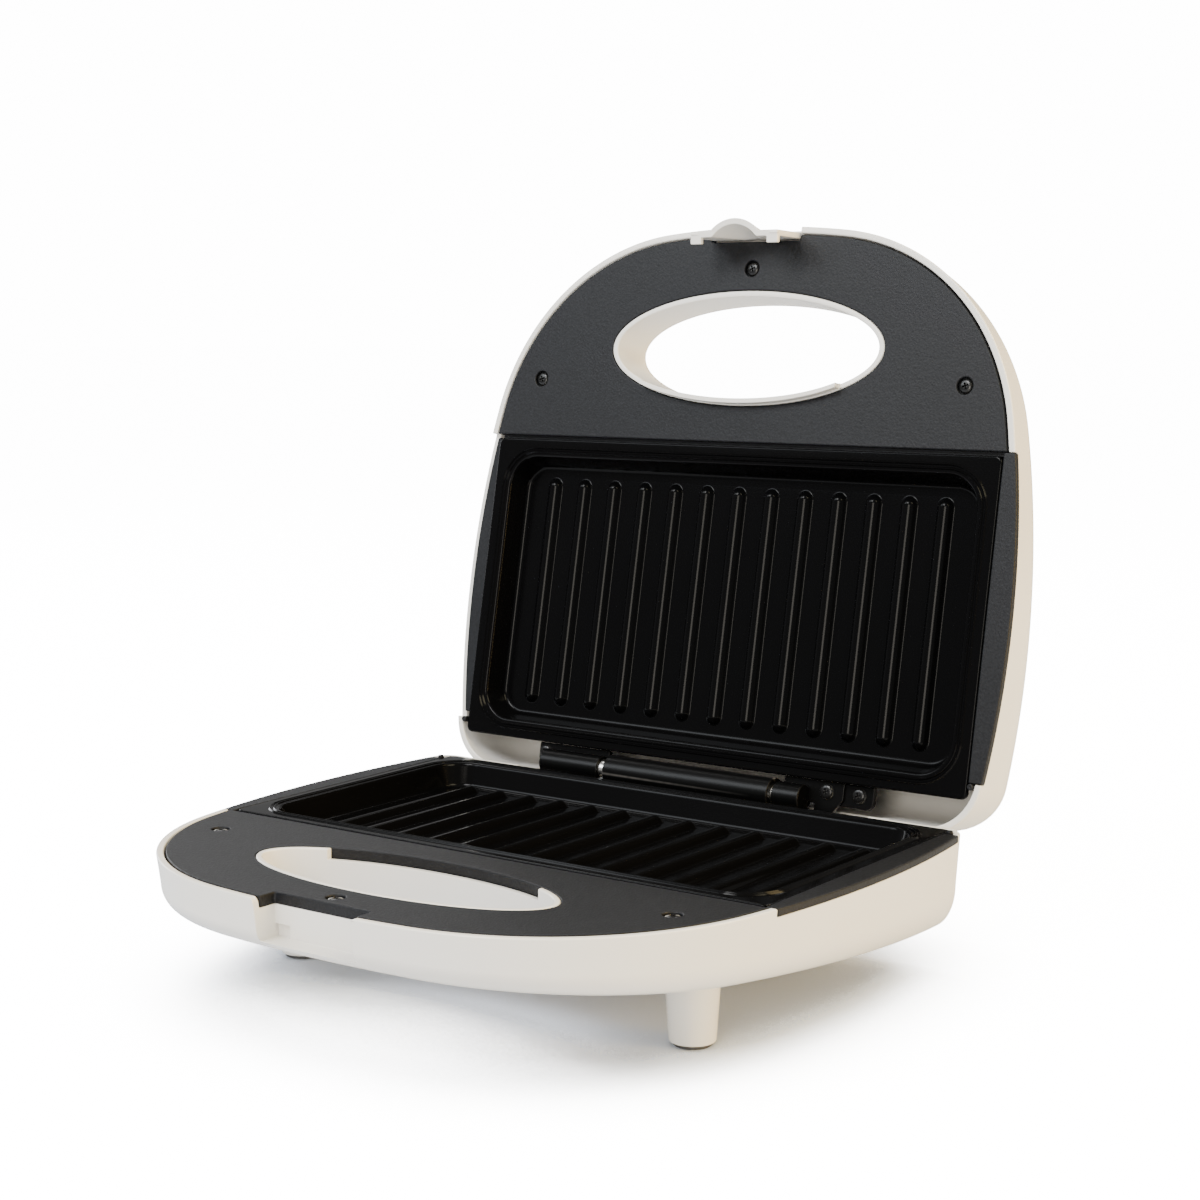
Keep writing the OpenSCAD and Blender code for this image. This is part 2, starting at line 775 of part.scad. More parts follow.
module grill_plate() {
    bead_h = 0.5;
    edge_r = 2.5;
    floor_in = recess_slope + 0.9;
    rings = [
        recess_ring(-floor_in, recess_h),
        recess_ring(-recess_slope - 0.3, recess_h - 0.3),
        recess_ring(-recess_slope, recess_h - 1),
        recess_ring(-0.7, 0.9),
        recess_ring(-0.2, 0.2),
        recess_ring(0.3, 0),
        recess_ring(1, 0),
        recess_ring(1.5, -bead_h),
        recess_ring(2, 0),
        recess_ring(2.5, 0),
        recess_ring(3, -bead_h),
        recess_ring(3.5, 0),
        plate_ring(plate_half_w - 0.5, plate_half_d - 0.5, edge_r, 0),
        plate_ring(plate_half_w, plate_half_d, edge_r, 0.5),
        plate_ring(plate_half_w, plate_half_d, edge_r, flange_t),
        recess_ring(1.8, flange_t),
        recess_ring(-recess_slope + floor_t, plate_back)];
    ring_solid(rings);
    difference() {
        for (i = [-rib_count:rib_count])
            translate([i * rib_pitch, plate_mid, recess_h + rib_r - rib_h])
                rib();
        translate([-big / 2, 0, recess_h + floor_t / 2])
            cube([big, big, big]);
    }
    for (p = shield_posts)
        translate([p[0], p[1], plate_back - 1])
            difference() {
                cylinder(r = shield_post_r, h = shield_z - plate_back + 1);
                translate([0, 0, 2])
                    cylinder(r = shank_r + pin_fit, h = shield_z);
            }
}

module rib() {
    rotate([90, 0, 0])
        cylinder(r = rib_r, h = 2 * rib_half_len, center = true);
    for (s = [-1, 1])
        translate([0, s * rib_half_len, 0])
            sphere(r = rib_r);
}

module base_grill_plate() {
    color(black)
        on_base()
            grill_plate();
}
module lid_grill_plate() {
    color(black)
        on_lid()
            grill_plate();
}

// The tubular heater: two legs and a bend, with thinner terminals at the open end.
terminal_len = 4;
module heater() {
    bend_r = heater_span / 2;
    bend_x = heater_reach - bend_r;
    translate([0, plate_mid, plate_back + heater_d / 2 + gap / 2]) {
        translate([bend_x, 0, 0])
            rotate([0, 0, -90])
                rotate_extrude(angle = 180)
                    translate([bend_r, 0])
                        circle(d = heater_d);
        for (s = [-1, 1])
            translate([-heater_reach, s * bend_r, 0])
                rotate([0, 90, 0]) {
                    cylinder(d = heater_d, h = heater_reach + bend_x);
                    translate([0, 0, -terminal_len])
                        cylinder(d = heater_d / 2, h = terminal_len + 1);
                }
    }
}
module base_heater() {
    color(steel)
        on_base()
            heater();
}
module lid_heater() {
    color(steel)
        on_lid()
            heater();
}

// The heat shield: a shallow tray of thin sheet on the plate's posts.
module heat_shield() {
    half_x = plate_half_w - shield_margin;
    half_y = plate_half_d - shield_margin / 2;
    lip = 4;
    difference() {
        translate([-half_x, plate_mid - half_y, shield_z - lip])
            cube([2 * half_x, 2 * half_y, lip + shield_t]);
        translate([-half_x + shield_t, plate_mid - half_y + shield_t, shield_z - lip - 1])
            cube([2 * (half_x - shield_t), 2 * (half_y - shield_t), lip + 1]);
        for (p = shield_posts)
            translate([p[0], p[1], 0])
                cylinder(r = shank_r + gap, h = big);
        translate([0, plate_mid, 0])
            cylinder(r = thermostat_r + 1, h = big);
    }
}
module base_heat_shield() {
    color(steel)
        on_base()
            heat_shield();
}
module lid_heat_shield() {
    color(steel)
        on_lid()
            heat_shield();
}

module shield_screw_set() {
    shield_screw = 5;
    mirror([0, 0, 1])
        screws(shield_posts, -shield_z - shield_t, shield_screw);
}
module base_shield_screws() {
    color(steel)
        on_base()
            shield_screw_set();
}
module lid_shield_screws() {
    color(steel)
        on_lid()
            shield_screw_set();
}

module thermostat() {
    tab = [3, 0.8, 5];
    color(black)
        on_base() {
            translate([0, plate_mid, plate_back])
                cylinder(r = thermostat_r, h = thermostat_h);
            for (s = [-1, 1])
                translate([s * thermostat_r / 2, plate_mid, plate_back + thermostat_h])
                    cube(tab, center = true);
        }
}

module thermal_fuse() {
    fuse_r = 2.2;
    color(steel)
        on_lid()
            translate([0, plate_mid, plate_back + fuse_r])
                rotate([0, 90, 0]) {
                    cylinder(r = fuse_r, h = fuse_len, center = true);
                    cylinder(r = 0.6, h = 2.4 * fuse_len, center = true);
                }
}

module terminal_block() {
    color([0.85, 0.84, 0.8])
        on_base()
            translate([-block_x, block_y, block_top])
                difference() {
                    translate([-block_w / 2, -block_d / 2, 0])
                        cube([block_w, block_d, block_h]);
                    for (x = terminal_x)
                        translate([x, 0, block_h / 2])
                            rotate([90, 0, 0])
                                cylinder(r = terminal_hole_r, h = 2 * block_d, center = true);
                }
}

// The bushing in the rear wall through which a mains lead enters.
module cord_bushing() {
    flange = 2.4;
    color(black)
        on_base()
            translate([bushing_x, 0, bushing_z])
                rotate([-90, 0, 0])
                    difference() {
                        union() {
                            translate([0, 0, bushing_face - flange])
                                cylinder(r = bushing_boss_r - 3 * gap, h = flange);
                            translate([0, 0, bushing_face - 1])
                                cylinder(r = bushing_r, h = 9);
                        }
                        cylinder(r = bushing_bore_r, h = big, center = true);
                    }
}

// Cones that stand against the base's outer face, with pockets for the pads.
module base_feet() {
    pad_z = seat_h - pad_out - pad_seat;
    color(white)
        on_base()
            difference() {
                for (p = foot_places)
                    translate([p[0], p[1], 0])
                        rotate_extrude()
                            polygon([[0, foot_root], [foot_top_r, foot_root],
                                [foot_top_r, depth(p[1] + foot_top_r)],
                                [foot_end_r, seat_h - pad_out], [0, seat_h - pad_out]]);
                core(base_rear_y, base_rear_r, 0);
                for (p = foot_places)
                    translate([p[0], p[1], pad_z])
                        cylinder(r = pad_r + gap, h = pad_seat + 1);
            }
}
module foot_pads() {
    edge = 1.2;
    color([0.2, 0.2, 0.2])
        on_base()
            for (p = foot_places)
                translate([p[0], p[1], seat_h - pad_out - pad_seat])
                    rotate_extrude()
                        polygon(concat([[0, 0]],
                            [[pad_r, 0]],
                            arc(pad_r - edge, pad_seat + pad_out - edge, edge, 0, 90, 5),
                            [[0, pad_seat + pad_out]]));
}

// The base's half of the hinge: a long sleeve on a leaf, with a stop for the lid.
module base_hinge_leaf() {
    color(black)
        on_base()
            difference() {
                union() {
                    translate([sleeve_x0, 0, -hinge_rise])
                        rotate([0, 90, 0])
                            cylinder(r = sleeve_r, h = sleeve_x1 - sleeve_x0);
                    translate([sleeve_x0, leaf_y, -hinge_rise])
                        cube([sleeve_x1 - sleeve_x0, leaf_t, leaf_h]);
                    translate([-leaf_half_w, leaf_y, stop_z])
                        cube([2 * leaf_half_w, leaf_t, leaf_h - stop_z - hinge_rise]);
                    translate([toe_x0 + run_gap, -stop_reach, stop_z])
                        cube([toe_w - 2 * run_gap, leaf_y + leaf_t + stop_reach, leaf_t]);
                }
                translate([sleeve_x0 - 1, 0, -hinge_rise])
                    rotate([0, 90, 0])
                        cylinder(r = pin_r + pin_fit, h = sleeve_x1 - sleeve_x0 + 2);
                for (s = leaf_screws)
                    translate([s[0], 0, s[1]])
                        rotate([-90, 0, 0])
                            cylinder(r = shank_r + gap, h = big);
            }
}

module base_hinge_screws() {
    color(steel)
        on_base()
            for (s = leaf_screws)
                translate([s[0], leaf_y, s[1]])
                    rotate([-90, 0, 0])
                        screw(short_screw);
}

module hinge_pin() {
    color(steel)
        on_lid()
            translate([left_x0 + 2 * gap, 0, -lid_seat_h])
                rotate([0, 90, 0])
                    cylinder(r = pin_r, h = right_x1 - left_x0 - 2 * gap - 2 * pin_end);
}

// The lid's two hinge brackets: a screwed plate that carries a knuckle.
module bracket_plate(points, step = 0) {
    translate([0, 0, bracket_z + step])
        linear_extrude(leaf_t)
            polygon(points);
}
function tab_end(x, dir) = concat([[x, bracket_end]], [for (a = [0:22.5:90])
    [x - dir * tab_r * (1 - cos(a)), tab_r - bracket_rear - tab_r * sin(a)]]);
module bracket_cuts(places, x0, x1) {
    for (s = places)
        translate([s[0], s[1], 0])
            cylinder(r = shank_r + gap, h = big);
    translate([x0, 0, -lid_seat_h])
        rotate([0, 90, 0])
            cylinder(r = pin_r + pin_fit, h = x1 - x0);
}
module knuckle(x0, x1) {
    translate([x0, 0, -lid_seat_h])
        rotate([0, 90, 0])
            cylinder(r = knuckle_r, h = x1 - x0);
}
module lid_hinge_left() {
    color(black)
        on_lid()
            difference() {
                union() {
                    bracket_plate(concat(tab_end(left_tab_x, -1),
                        [[left_x1, -bracket_rear], [left_x1, bracket_end]]));
                    knuckle(left_x0, left_x1);
                }
                bracket_cuts([bracket_screws[0]], left_x0 - 1, left_x1 + 1);
            }
}
module lid_hinge_right() {
    color(black)
        on_lid()
            difference() {
                union() {
                    bracket_plate([[right_x0, bracket_end], [right_x0, -bracket_rear],
                        [toe_x0, -bracket_rear], [toe_x0, -toe_y], [toe_x0 + toe_w / 2, -toe_y],
                        [toe_x1, bracket_rear], [toe_x1, bracket_end]]);
                    bracket_plate(concat(tab_end(right_tab_x, 1),
                        [[toe_x1 - 2 * tab_step, -bracket_rear],
                        [toe_x1 - 2 * tab_step, bracket_end]]), tab_step);
                    knuckle(right_x0, right_x1);
                }
                bracket_cuts([bracket_screws[1], bracket_screws[2]], right_x0 - 1,
                    right_x1 - pin_end);
            }
}
module lid_hinge_screws() {
    color(black)
        on_lid()
            screws(bracket_screws, bracket_z, long_screw);
}

// Two signal lamps in the lid's outer face.
lamp_places = [for (s = [-1, 1]) [s * lamp_x, front_y - lamp_back]];
lens_flange = 1.2;
lens_proud = 0.6;
flange_top = depth(lamp_places[0][1] + lens_r + lens_flange) - wall - gap / 2;
module lens(place) {
    translate([place[0], place[1], flange_top - lens_flange]) {
        cylinder(r = lens_r, h = depth(place[1]) + lens_proud + lens_flange - flange_top);
        cylinder(r = lens_r + lens_flange, h = lens_flange);
    }
}
module power_lens() {
    color([0.7, 0.05, 0.04])
        on_lid()
            lens(lamp_places[0]);
}
module ready_lens() {
    color([0.05, 0.5, 0.12])
        on_lid()
            lens(lamp_places[1]);
}
module lamp_holder() {
    lamp_h = 6;
    color(steel)
        on_lid()
            for (s = lamp_places)
                translate([s[0], s[1], flange_top - lens_flange - gap - lamp_h])
                    cylinder(r = 2.5, h = lamp_h);
}

latch_pin_end = 2.6;
lid_block_back = 9;

// The latch as it would hang straight, with its pivot at the origin.
module latch_shape() {
    difference() {
        union() {
            difference() {
                translate([-latch_half_w, -latch_in, -latch_len])
                    cube([2 * latch_half_w, latch_t, latch_len]);
                arch(0);
            }
            rotate([0, 90, 0])
                cylinder(r = latch_r, h = 2 * latch_half_w, center = true);
            difference() {
                arch(latch_t);
                arch(0);
                translate([-big / 2, -latch_in - big, -big / 2])
                    cube([big, big, big]);
            }
            for (s = [-1, 1])
                translate([s * (latch_half_w - hook_w / 2) - hook_w / 2,
                    -latch_in - hook_in, -latch_len])
                    cube([hook_w, hook_in + 1, hook_t]);
        }
        rotate([0, 90, 0])
            cylinder(r = latch_pin_r + pin_fit, h = big, center = true);
    }
}
module arch(grow) {
    below = grow == 0 ? 1 : 0;
    top = latch_r + 1;
    slope = arch_h / (latch_len - top);
    translate([0, arch_h - latch_in - arch_r, -latch_len - below])
        cylinder(r1 = arch_r + grow + slope * below, r2 = arch_r + grow - arch_h,
            h = latch_len - top + below);
}
module latch() {
    color(white)
        on_lid()
            translate([0, latch_y, latch_z])
                rotate([latch_rest - latch_lean, 0, 0])
                    latch_shape();
}
module latch_pin() {
    color(steel)
        on_lid()
            translate([0, latch_y, latch_z])
                rotate([0, 90, 0])
                    cylinder(r = latch_pin_r, h = 2 * (notch_half_w + latch_pin_end),
                        center = true);
}

base_shell();
base_handle_cover();
base_cover_screws();
base_plate_frame();
base_frame_screws();
base_grill_plate();
base_heater();
base_heat_shield();
base_shield_screws();
thermostat();
terminal_block();
cord_bushing();
base_feet();
foot_pads();
base_hinge_leaf();
base_hinge_screws();
hinge_pin();
lid_hinge_left();
lid_hinge_right();
lid_hinge_screws();
lid_shell();
lid_handle_cover();
lid_cover_screws();
lid_plate_frame();
lid_frame_screws();
lid_grill_plate();
lid_heater();
lid_heat_shield();
lid_shield_screws();
thermal_fuse();
power_lens();
ready_lens();
lamp_holder();
latch();
latch_pin();
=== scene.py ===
"""Blender scene of a sandwich toaster with a hinged lid, dressed over its CAD frame.

Lengths are in millimetres in the frame of a half: x runs across, y is the distance forward of
the hinge axis and z the depth behind the plane of the plate's flange. Each half carries the
matrix that moves this frame into the room, in metres.
"""

import json
import logging
import math
from dataclasses import dataclass, field
from enum import Enum
from typing import Callable, Iterable, Optional, Sequence

import bmesh
import bpy
from mathutils import Matrix, Vector
from mathutils.geometry import tessellate_polygon


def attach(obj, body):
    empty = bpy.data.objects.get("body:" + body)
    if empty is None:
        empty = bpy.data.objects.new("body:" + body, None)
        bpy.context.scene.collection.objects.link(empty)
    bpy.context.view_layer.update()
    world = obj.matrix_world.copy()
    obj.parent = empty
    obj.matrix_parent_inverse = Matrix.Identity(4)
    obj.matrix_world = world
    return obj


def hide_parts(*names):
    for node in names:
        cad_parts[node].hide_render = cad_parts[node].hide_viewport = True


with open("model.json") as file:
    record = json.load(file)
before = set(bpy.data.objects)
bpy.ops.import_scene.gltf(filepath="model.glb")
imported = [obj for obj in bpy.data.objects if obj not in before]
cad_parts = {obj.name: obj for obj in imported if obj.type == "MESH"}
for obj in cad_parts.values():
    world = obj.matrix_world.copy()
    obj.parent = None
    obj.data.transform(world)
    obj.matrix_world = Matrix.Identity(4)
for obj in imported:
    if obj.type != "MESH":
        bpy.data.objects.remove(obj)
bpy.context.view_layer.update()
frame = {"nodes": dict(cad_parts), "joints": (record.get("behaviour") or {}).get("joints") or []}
MM = 0.001
TINY = 1e-5
NUDGE = 0.01
AXIS_R = 0.01
LOG = logging.getLogger("toaster")

Point2 = tuple[float, float]
Contour = list[Point2]
Profile = tuple[Point2, ...]
Ring = list[bmesh.types.BMVert]
Colour = tuple[float, float, float]


# --------------------------------------------------------------------------- flat outlines


def arc(x: float, y: float, r: float, start: float, end: float, steps: int) -> Contour:
    """Points on a circular arc.

    Args:
        x: Centre of the arc.
        y: Centre of the arc.
        r: Radius.
        start: First angle in degrees.
        end: Last angle in degrees.
        steps: Number of segments.

    Returns:
        The points, with both ends.
    """
    angles = [math.radians(start + (end - start) * i / steps) for i in range(steps + 1)]
    return [(x + r * math.cos(a), y + r * math.sin(a)) for a in angles]


def ellipse(a: float, b: float, y: float, steps: int = 120) -> Contour:
    """The oval with half axes a and b about (0, y), counterclockwise."""
    turn = [2 * math.pi * i / steps for i in range(steps)]
    return [(a * math.cos(t), y + b * math.sin(t)) for t in turn]


def circle(x: float, y: float, r: float, steps: int = 32) -> Contour:
    """The circle of radius r about (x, y), counterclockwise."""
    turn = [2 * math.pi * i / steps for i in range(steps)]
    return [(x + r * math.cos(t), y + r * math.sin(t)) for t in turn]


def rectangle(x0: float, y0: float, x1: float, y1: float) -> Contour:
    """The rectangle between two corners, counterclockwise."""
    return [(x0, y0), (x1, y0), (x1, y1), (x0, y1)]


def rounded_box(half_x: float, half_y: float, r: float, y: float, steps: int = 8) -> Contour:
    """A rectangle with round corners about (0, y), counterclockwise.

    Args:
        half_x: Half its width.
        half_y: Half its depth.
        r: Radius of the corners.
        y: Its middle.
        steps: Segments of each corner.

    Returns:
        The points.
    """
    points: Contour = []
    for sx, sy, start in ((1, 1, 0), (-1, 1, 90), (-1, -1, 180), (1, -1, 270)):
        points += arc(sx * (half_x - r), y + sy * (half_y - r), r, start, start + 90, steps)
    return points


def area_of(points: Contour) -> float:
    """The signed area of a contour.

    Args:
        points: The contour.

    Returns:
        The area, positive where it runs counterclockwise.
    """
    return 0.5 * sum(
        a[0] * b[1] - b[0] * a[1] for a, b in zip(points, points[1:] + points[:1])
    )


MITRE_LIMIT = 0.2
SHORTEST = 1e-6
SIDE_SHARE = 0.45


def offset(points: Contour, d: float) -> Contour:
    """Moves a counterclockwise contour inwards.

    Args:
        points: The contour.
        d: How far it moves in; below zero it grows.

    Returns:
        As many points, mitred at the corners.
    """
    moved: Contour = []
    count = len(points)
    for i, (px, py) in enumerate(points):
        ax, ay = points[i - 1]
        bx, by = points[(i + 1) % count]
        e1 = Vector((px - ax, py - ay)).normalized()
        e2 = Vector((bx - px, by - py)).normalized()
        n1, n2 = Vector((-e1.y, e1.x)), Vector((-e2.y, e2.x))
        n = (n1 + n2) / max(1 + n1.dot(n2), MITRE_LIMIT)
        moved.append((px + n.x * d, py + n.y * d))
    return moved


def round_corners(points: Contour, r: float, steps: int = 4, sharp: float = 35) -> Contour:
    """Replaces the sharp corners of a contour by arcs.

    Args:
        points: The contour.
        r: Radius of the arcs, less where the sides are short.
        steps: Segments of each arc.
        sharp: Turn in degrees from which a corner counts as sharp.

    Returns:
        The rounded contour.
    """
    result: Contour = []
    count = len(points)
    for i in range(count):
        p = Vector(points[i])
        a, b = Vector(points[i - 1]) - p, Vector(points[(i + 1) % count]) - p
        if min(a.length, b.length) < SHORTEST:
            continue
        turn = math.pi - a.angle(b)
        if turn < math.radians(sharp):
            result.append((p.x, p.y))
            continue
        reach = min(r * math.tan(turn / 2), SIDE_SHARE * a.length, SIDE_SHARE * b.length)
        radius = reach / math.tan(turn / 2)
        start, end = p + a.normalized() * reach, p + b.normalized() * reach
        centre = p + (a.normalized() + b.normalized()).normalized() * (
            radius / math.cos(turn / 2)
        )
        for k in range(steps + 1):
            t = k / steps
            q = (start * (1 - t) + end * t) - centre
            q = centre + q.normalized() * radius
            result.append((q.x, q.y))
    return result


def fillet(r: float, z: float, steps: int = 3) -> Contour:
    """The rounding of an edge, as pairs of inset and depth from the face at depth z."""
    angles = [math.radians(90 * i / steps) for i in range(steps + 1)]
    return [(r * (1 - math.sin(a)), z + r * (1 - math.cos(a))) for a in angles]


# ---------------------------------------------------------------------------------- solids


def ring(bm: bmesh.types.BMesh, points: Iterable[Sequence[float]]) -> Ring:
    """Adds the vertices of a closed ring."""
    return [bm.verts.new(p) for p in points]


def band(bm: bmesh.types.BMesh, a: Ring, b: Ring) -> None:
    """Joins two rings of as many vertices by a band of quads.

    Args:
        bm: The mesh.
        a: The first ring.
        b: The second ring.
    """
    count = len(a)
    for i in range(count):
        k = (i + 1) % count
        bm.faces.new((a[i], a[k], b[k], b[i]))


def lid_over(bm: bmesh.types.BMesh, outer: Ring, holes: Sequence[Ring] = ()) -> None:
    """Closes a ring by a flat face, or by triangles where it has holes.

    Args:
        bm: The mesh.
        outer: Its outer ring.
        holes: Rings inside it that stay open.
    """
    if not holes:
        bm.faces.new(outer)
        return
    loops = [outer, *holes]
    flat = [v for loop in loops for v in loop]
    for tri in tessellate_polygon([[v.co for v in loop] for loop in loops]):
        corners = [flat[i] for i in tri]
        if len(set(corners)) == len(corners) and bm.faces.get(corners) is None:
            bm.faces.new(corners)


@dataclass
class Opening:
    """A hole or a pocket in a slab: its contour, and its depth where it isn't a hole."""

    points: Contour
    deep: Optional[float] = None


@dataclass
class Slab:
    """A flat piece with a rounded face edge, which may be hollow from behind.

    Its face lies at depth z0 and its back at z1.
    """

    outer: Contour
    z0: float
    z1: float
    openings: list[Opening] = field(default_factory=list)
    edge: float = 0.4
    back_edge: float = 0.0
    hollow_from: Optional[float] = None
    skirt: float = 1.6

    def build(self) -> bmesh.types.BMesh:
        """Makes the slab.

        Returns:
            Its closed mesh.
        """
        bm = bmesh.new()
        levels = fillet(self.edge, self.z0)
        if self.back_edge > 0:
            levels += [(i, self.z1 + self.z0 - z) for i, z in
                       reversed(fillet(self.back_edge, self.z0))]
        else:
            levels.append((0.0, self.z1))
        faces: list[Ring] = []
        backs: list[Ring] = []
        contours = [(self.outer, 1.0, None)]
        contours += [(o.points, -1.0, o.deep) for o in self.openings]
        for points, sign, deep in contours:
            steps = levels
            if deep is not None:
                steps = fillet(self.edge, self.z0) + [(0.0, deep)]
            rings = [ring(bm, [(*p, z) for p in offset(points, sign * i)]) for i, z in steps]
            for a, b in zip(rings, rings[1:]):
                band(bm, a, b)
            faces.append(rings[0])
            if deep is not None:
                lid_over(bm, rings[-1])
                continue
            last = rings[-1]
            if self.hollow_from is not None:
                inner = offset(points, sign * self.skirt)
                foot = ring(bm, [(*p, self.z1) for p in inner])
                top = ring(bm, [(*p, self.hollow_from) for p in inner])
                band(bm, last, foot)
                band(bm, foot, top)
                last = top
            backs.append(last)
        lid_over(bm, faces[0], faces[1:])
        lid_over(bm, backs[0], backs[1:])
        bmesh.ops.recalc_face_normals(bm, faces=bm.faces)
        return bm


def lathe(
    profile: Contour, place: Matrix, steps: int = 48, closed: bool = False
) -> bmesh.types.BMesh:
    """Turns a profile about the z axis of a place.

    Args:
        profile: Pairs of radius and height.
        place: Where the axis stands.
        steps: Number of segments round the axis.
        closed: Whether the profile is a loop, as for a tube.

    Returns:
        The closed mesh.
    """
    bm = bmesh.new()
    columns = []
    for i in range(steps):
        a = 2 * math.pi * i / steps
        columns.append([
            bm.verts.new(place @ Vector((r * math.cos(a), r * math.sin(a), h)))
            for r, h in profile
        ])
    last = len(profile) if closed else len(profile) - 1
    for i in range(steps):
        a, b = columns[i], columns[(i + 1) % steps]
        for k in range(last):
            n = (k + 1) % len(profile)
            bm.faces.new((a[k], b[k], b[n], a[n]))
    bmesh.ops.remove_doubles(bm, verts=bm.verts, dist=TINY)
    bmesh.ops.dissolve_degenerate(bm, edges=bm.edges, dist=TINY)
    bmesh.ops.recalc_face_normals(bm, faces=bm.faces)
    return bm


def block(low: Sequence[float], high: Sequence[float], r: float = 0.0) -> bmesh.types.BMesh:
    """Makes a block.

    Args:
        low: Its lowest corner.
        high: Its highest corner.
        r: Width of the rounding of its edges.

    Returns:
        The closed mesh.
    """
    bm = bmesh.new()
    bmesh.ops.create_cube(bm, size=1.0)
    for v in bm.verts:
        v.co = Vector([low[i] if v.co[i] < 0 else high[i] for i in range(3)])
    if r > 0:
        bmesh.ops.bevel(
            bm, geom=bm.edges[:] + bm.verts[:], offset=r, segments=2, profile=0.5, affect="EDGES"
        )
    return bm


def bar(points: Contour, y0: float, y1: float) -> bmesh.types.BMesh:
    """Makes a bar along y.

    Args:
        points: Its section, as a contour of x and z.
        y0: Its first end.
        y1: Its last end.

    Returns:
        The closed mesh.
    """
    bm = bmesh.new()
    ends = [ring(bm, [(x, y, z) for x, z in points]) for y in (y0, y1)]
    band(bm, *ends)
    for end in ends:
        lid_over(bm, end)
    bmesh.ops.recalc_face_normals(bm, faces=bm.faces)
    return bm


def scratch_object(bm: bmesh.types.BMesh) -> bpy.types.Object:
    """Puts a mesh under construction into an object of the scene, and frees it.

    Args:
        bm: The mesh.

    Returns:
        The object.
    """
    mesh = bpy.data.meshes.new("scratch")
    bm.to_mesh(mesh)
    bm.free()
    made = bpy.data.objects.new("scratch", mesh)
    bpy.context.scene.collection.objects.link(made)
    return made


def discard(obj: bpy.types.Object) -> None:
    """Removes an object together with its mesh.

    Args:
        obj: The object.
    """
    mesh = obj.data
    bpy.data.objects.remove(obj)
    bpy.data.meshes.remove(mesh)


def add_solid(bm: bmesh.types.BMesh, other: bmesh.types.BMesh) -> None:
    """Adds a solid's mesh to another's, and frees it.

    Args:
        bm: The mesh that grows.
        other: The solid.
    """
    mesh = bpy.data.meshes.new("part")
    other.to_mesh(mesh)
    other.free()
    bm.from_mesh(mesh)
    bpy.data.meshes.remove(mesh)


def gathered(solids: Iterable[bmesh.types.BMesh]) -> bpy.types.Object:
    """Puts several solids into one object, and frees them.

    Args:
        solids: The solids.

    Returns:
        The object.
    """
    whole = bmesh.new()
    for solid in solids:
        add_solid(whole, solid)
    return scratch_object(whole)


def bake_modifiers(obj: bpy.types.Object) -> None:
    """Applies an object's modifiers to its mesh.

    Args:
        obj: The object.
    """
    graph = bpy.context.evaluated_depsgraph_get()
    mesh = bpy.data.meshes.new_from_object(obj.evaluated_get(graph))
    old = obj.data
    obj.modifiers.clear()
    obj.data = mesh
    bpy.data.meshes.remove(old)


class Joining(Enum):
    """How one solid is worked into another."""

    CUT = "DIFFERENCE"
    FUSE = "UNION"
    KEEP = "INTERSECT"


def work(
    target: bpy.types.Object, tool: bmesh.types.BMesh, how: Joining = Joining.CUT
) -> None:
    """Works a solid into an object.

    Args:
        target: The object to change.
        tool: The solid, which is used up.
        how: Whether it is cut out or fused on, or what lies in it is kept.
    """
    cutter = scratch_object(tool)
    step = target.modifiers.new("work", "BOOLEAN")
    step.object = cutter
    step.operation = how.value
    step.solver = "EXACT"
    bake_modifiers(target)
    discard(cutter)


def taken(obj: bpy.types.Object) -> bmesh.types.BMesh:
    """Takes the mesh out of an object under construction.

    Args:
        obj: The object, which is used up.

    Returns:
        Its mesh.
    """
    bm = bmesh.new()
    bm.from_mesh(obj.data)
    discard(obj)
    return bm


MERGE = 0.02
DEGENERATE = 0.01


def soften(obj: bpy.types.Object, width: float, angle: float = 50, segments: int = 2) -> None:
    """Rounds the sharp edges of an object that is still in millimetres.

    Args:
        obj: The object.
        width: Width of the rounding.
        angle: Angle in degrees from which an edge is sharp.
        segments: Segments of the rounding.
    """
    bm = bmesh.new()
    bm.from_mesh(obj.data)
    bmesh.ops.remove_doubles(bm, verts=bm.verts, dist=MERGE)
    bmesh.ops.dissolve_degenerate(bm, edges=bm.edges, dist=DEGENERATE)
    bm.to_mesh(obj.data)
    bm.free()
    step = obj.modifiers.new("soften", "BEVEL")
    step.width = width
    step.segments = segments
    step.limit_method = "ANGLE"
    step.angle_limit = math.radians(angle)
    step.use_clamp_overlap = False
    step.miter_outer = "MITER_ARC"
    bake_modifiers(obj)


# -------------------------------------------------------------------------------- finishes


class NodeGroup:
    """Makes the shader node groups that several finishes share, each of them once."""

    def __init__(self, name: str, inputs: dict[str, float], outputs: dict[str, str]) -> None:
        """Starts a group.

        Args:
            name: Name of the group.
            inputs: Its number inputs with their usual values.
            outputs: Its outputs with their socket types.
        """
        self.tree = bpy.data.node_groups.new(name, "ShaderNodeTree")
        for key, value in inputs.items():
            socket = self.tree.interface.new_socket(
                name=key, in_out="INPUT", socket_type="NodeSocketFloat"
            )
            socket.default_value = value
        for key, kind in outputs.items():
            self.tree.interface.new_socket(name=key, in_out="OUTPUT", socket_type=kind)
        self.inlet = self.tree.nodes.new("NodeGroupInput")
        self.outlet = self.tree.nodes.new("NodeGroupOutput")

    def node(self, kind: str, **settings: object) -> bpy.types.Node:
        """Adds a node.

        Args:
            kind: Its type.
            **settings: Its settings.

        Returns:
            The node.
        """
        made = self.tree.nodes.new(kind)
        for key, value in settings.items():
            setattr(made, key, value)
        return made

    def link(self, a: bpy.types.NodeSocket, b: bpy.types.NodeSocket) -> None:
        """Links two sockets."""
        self.tree.links.new(a, b)


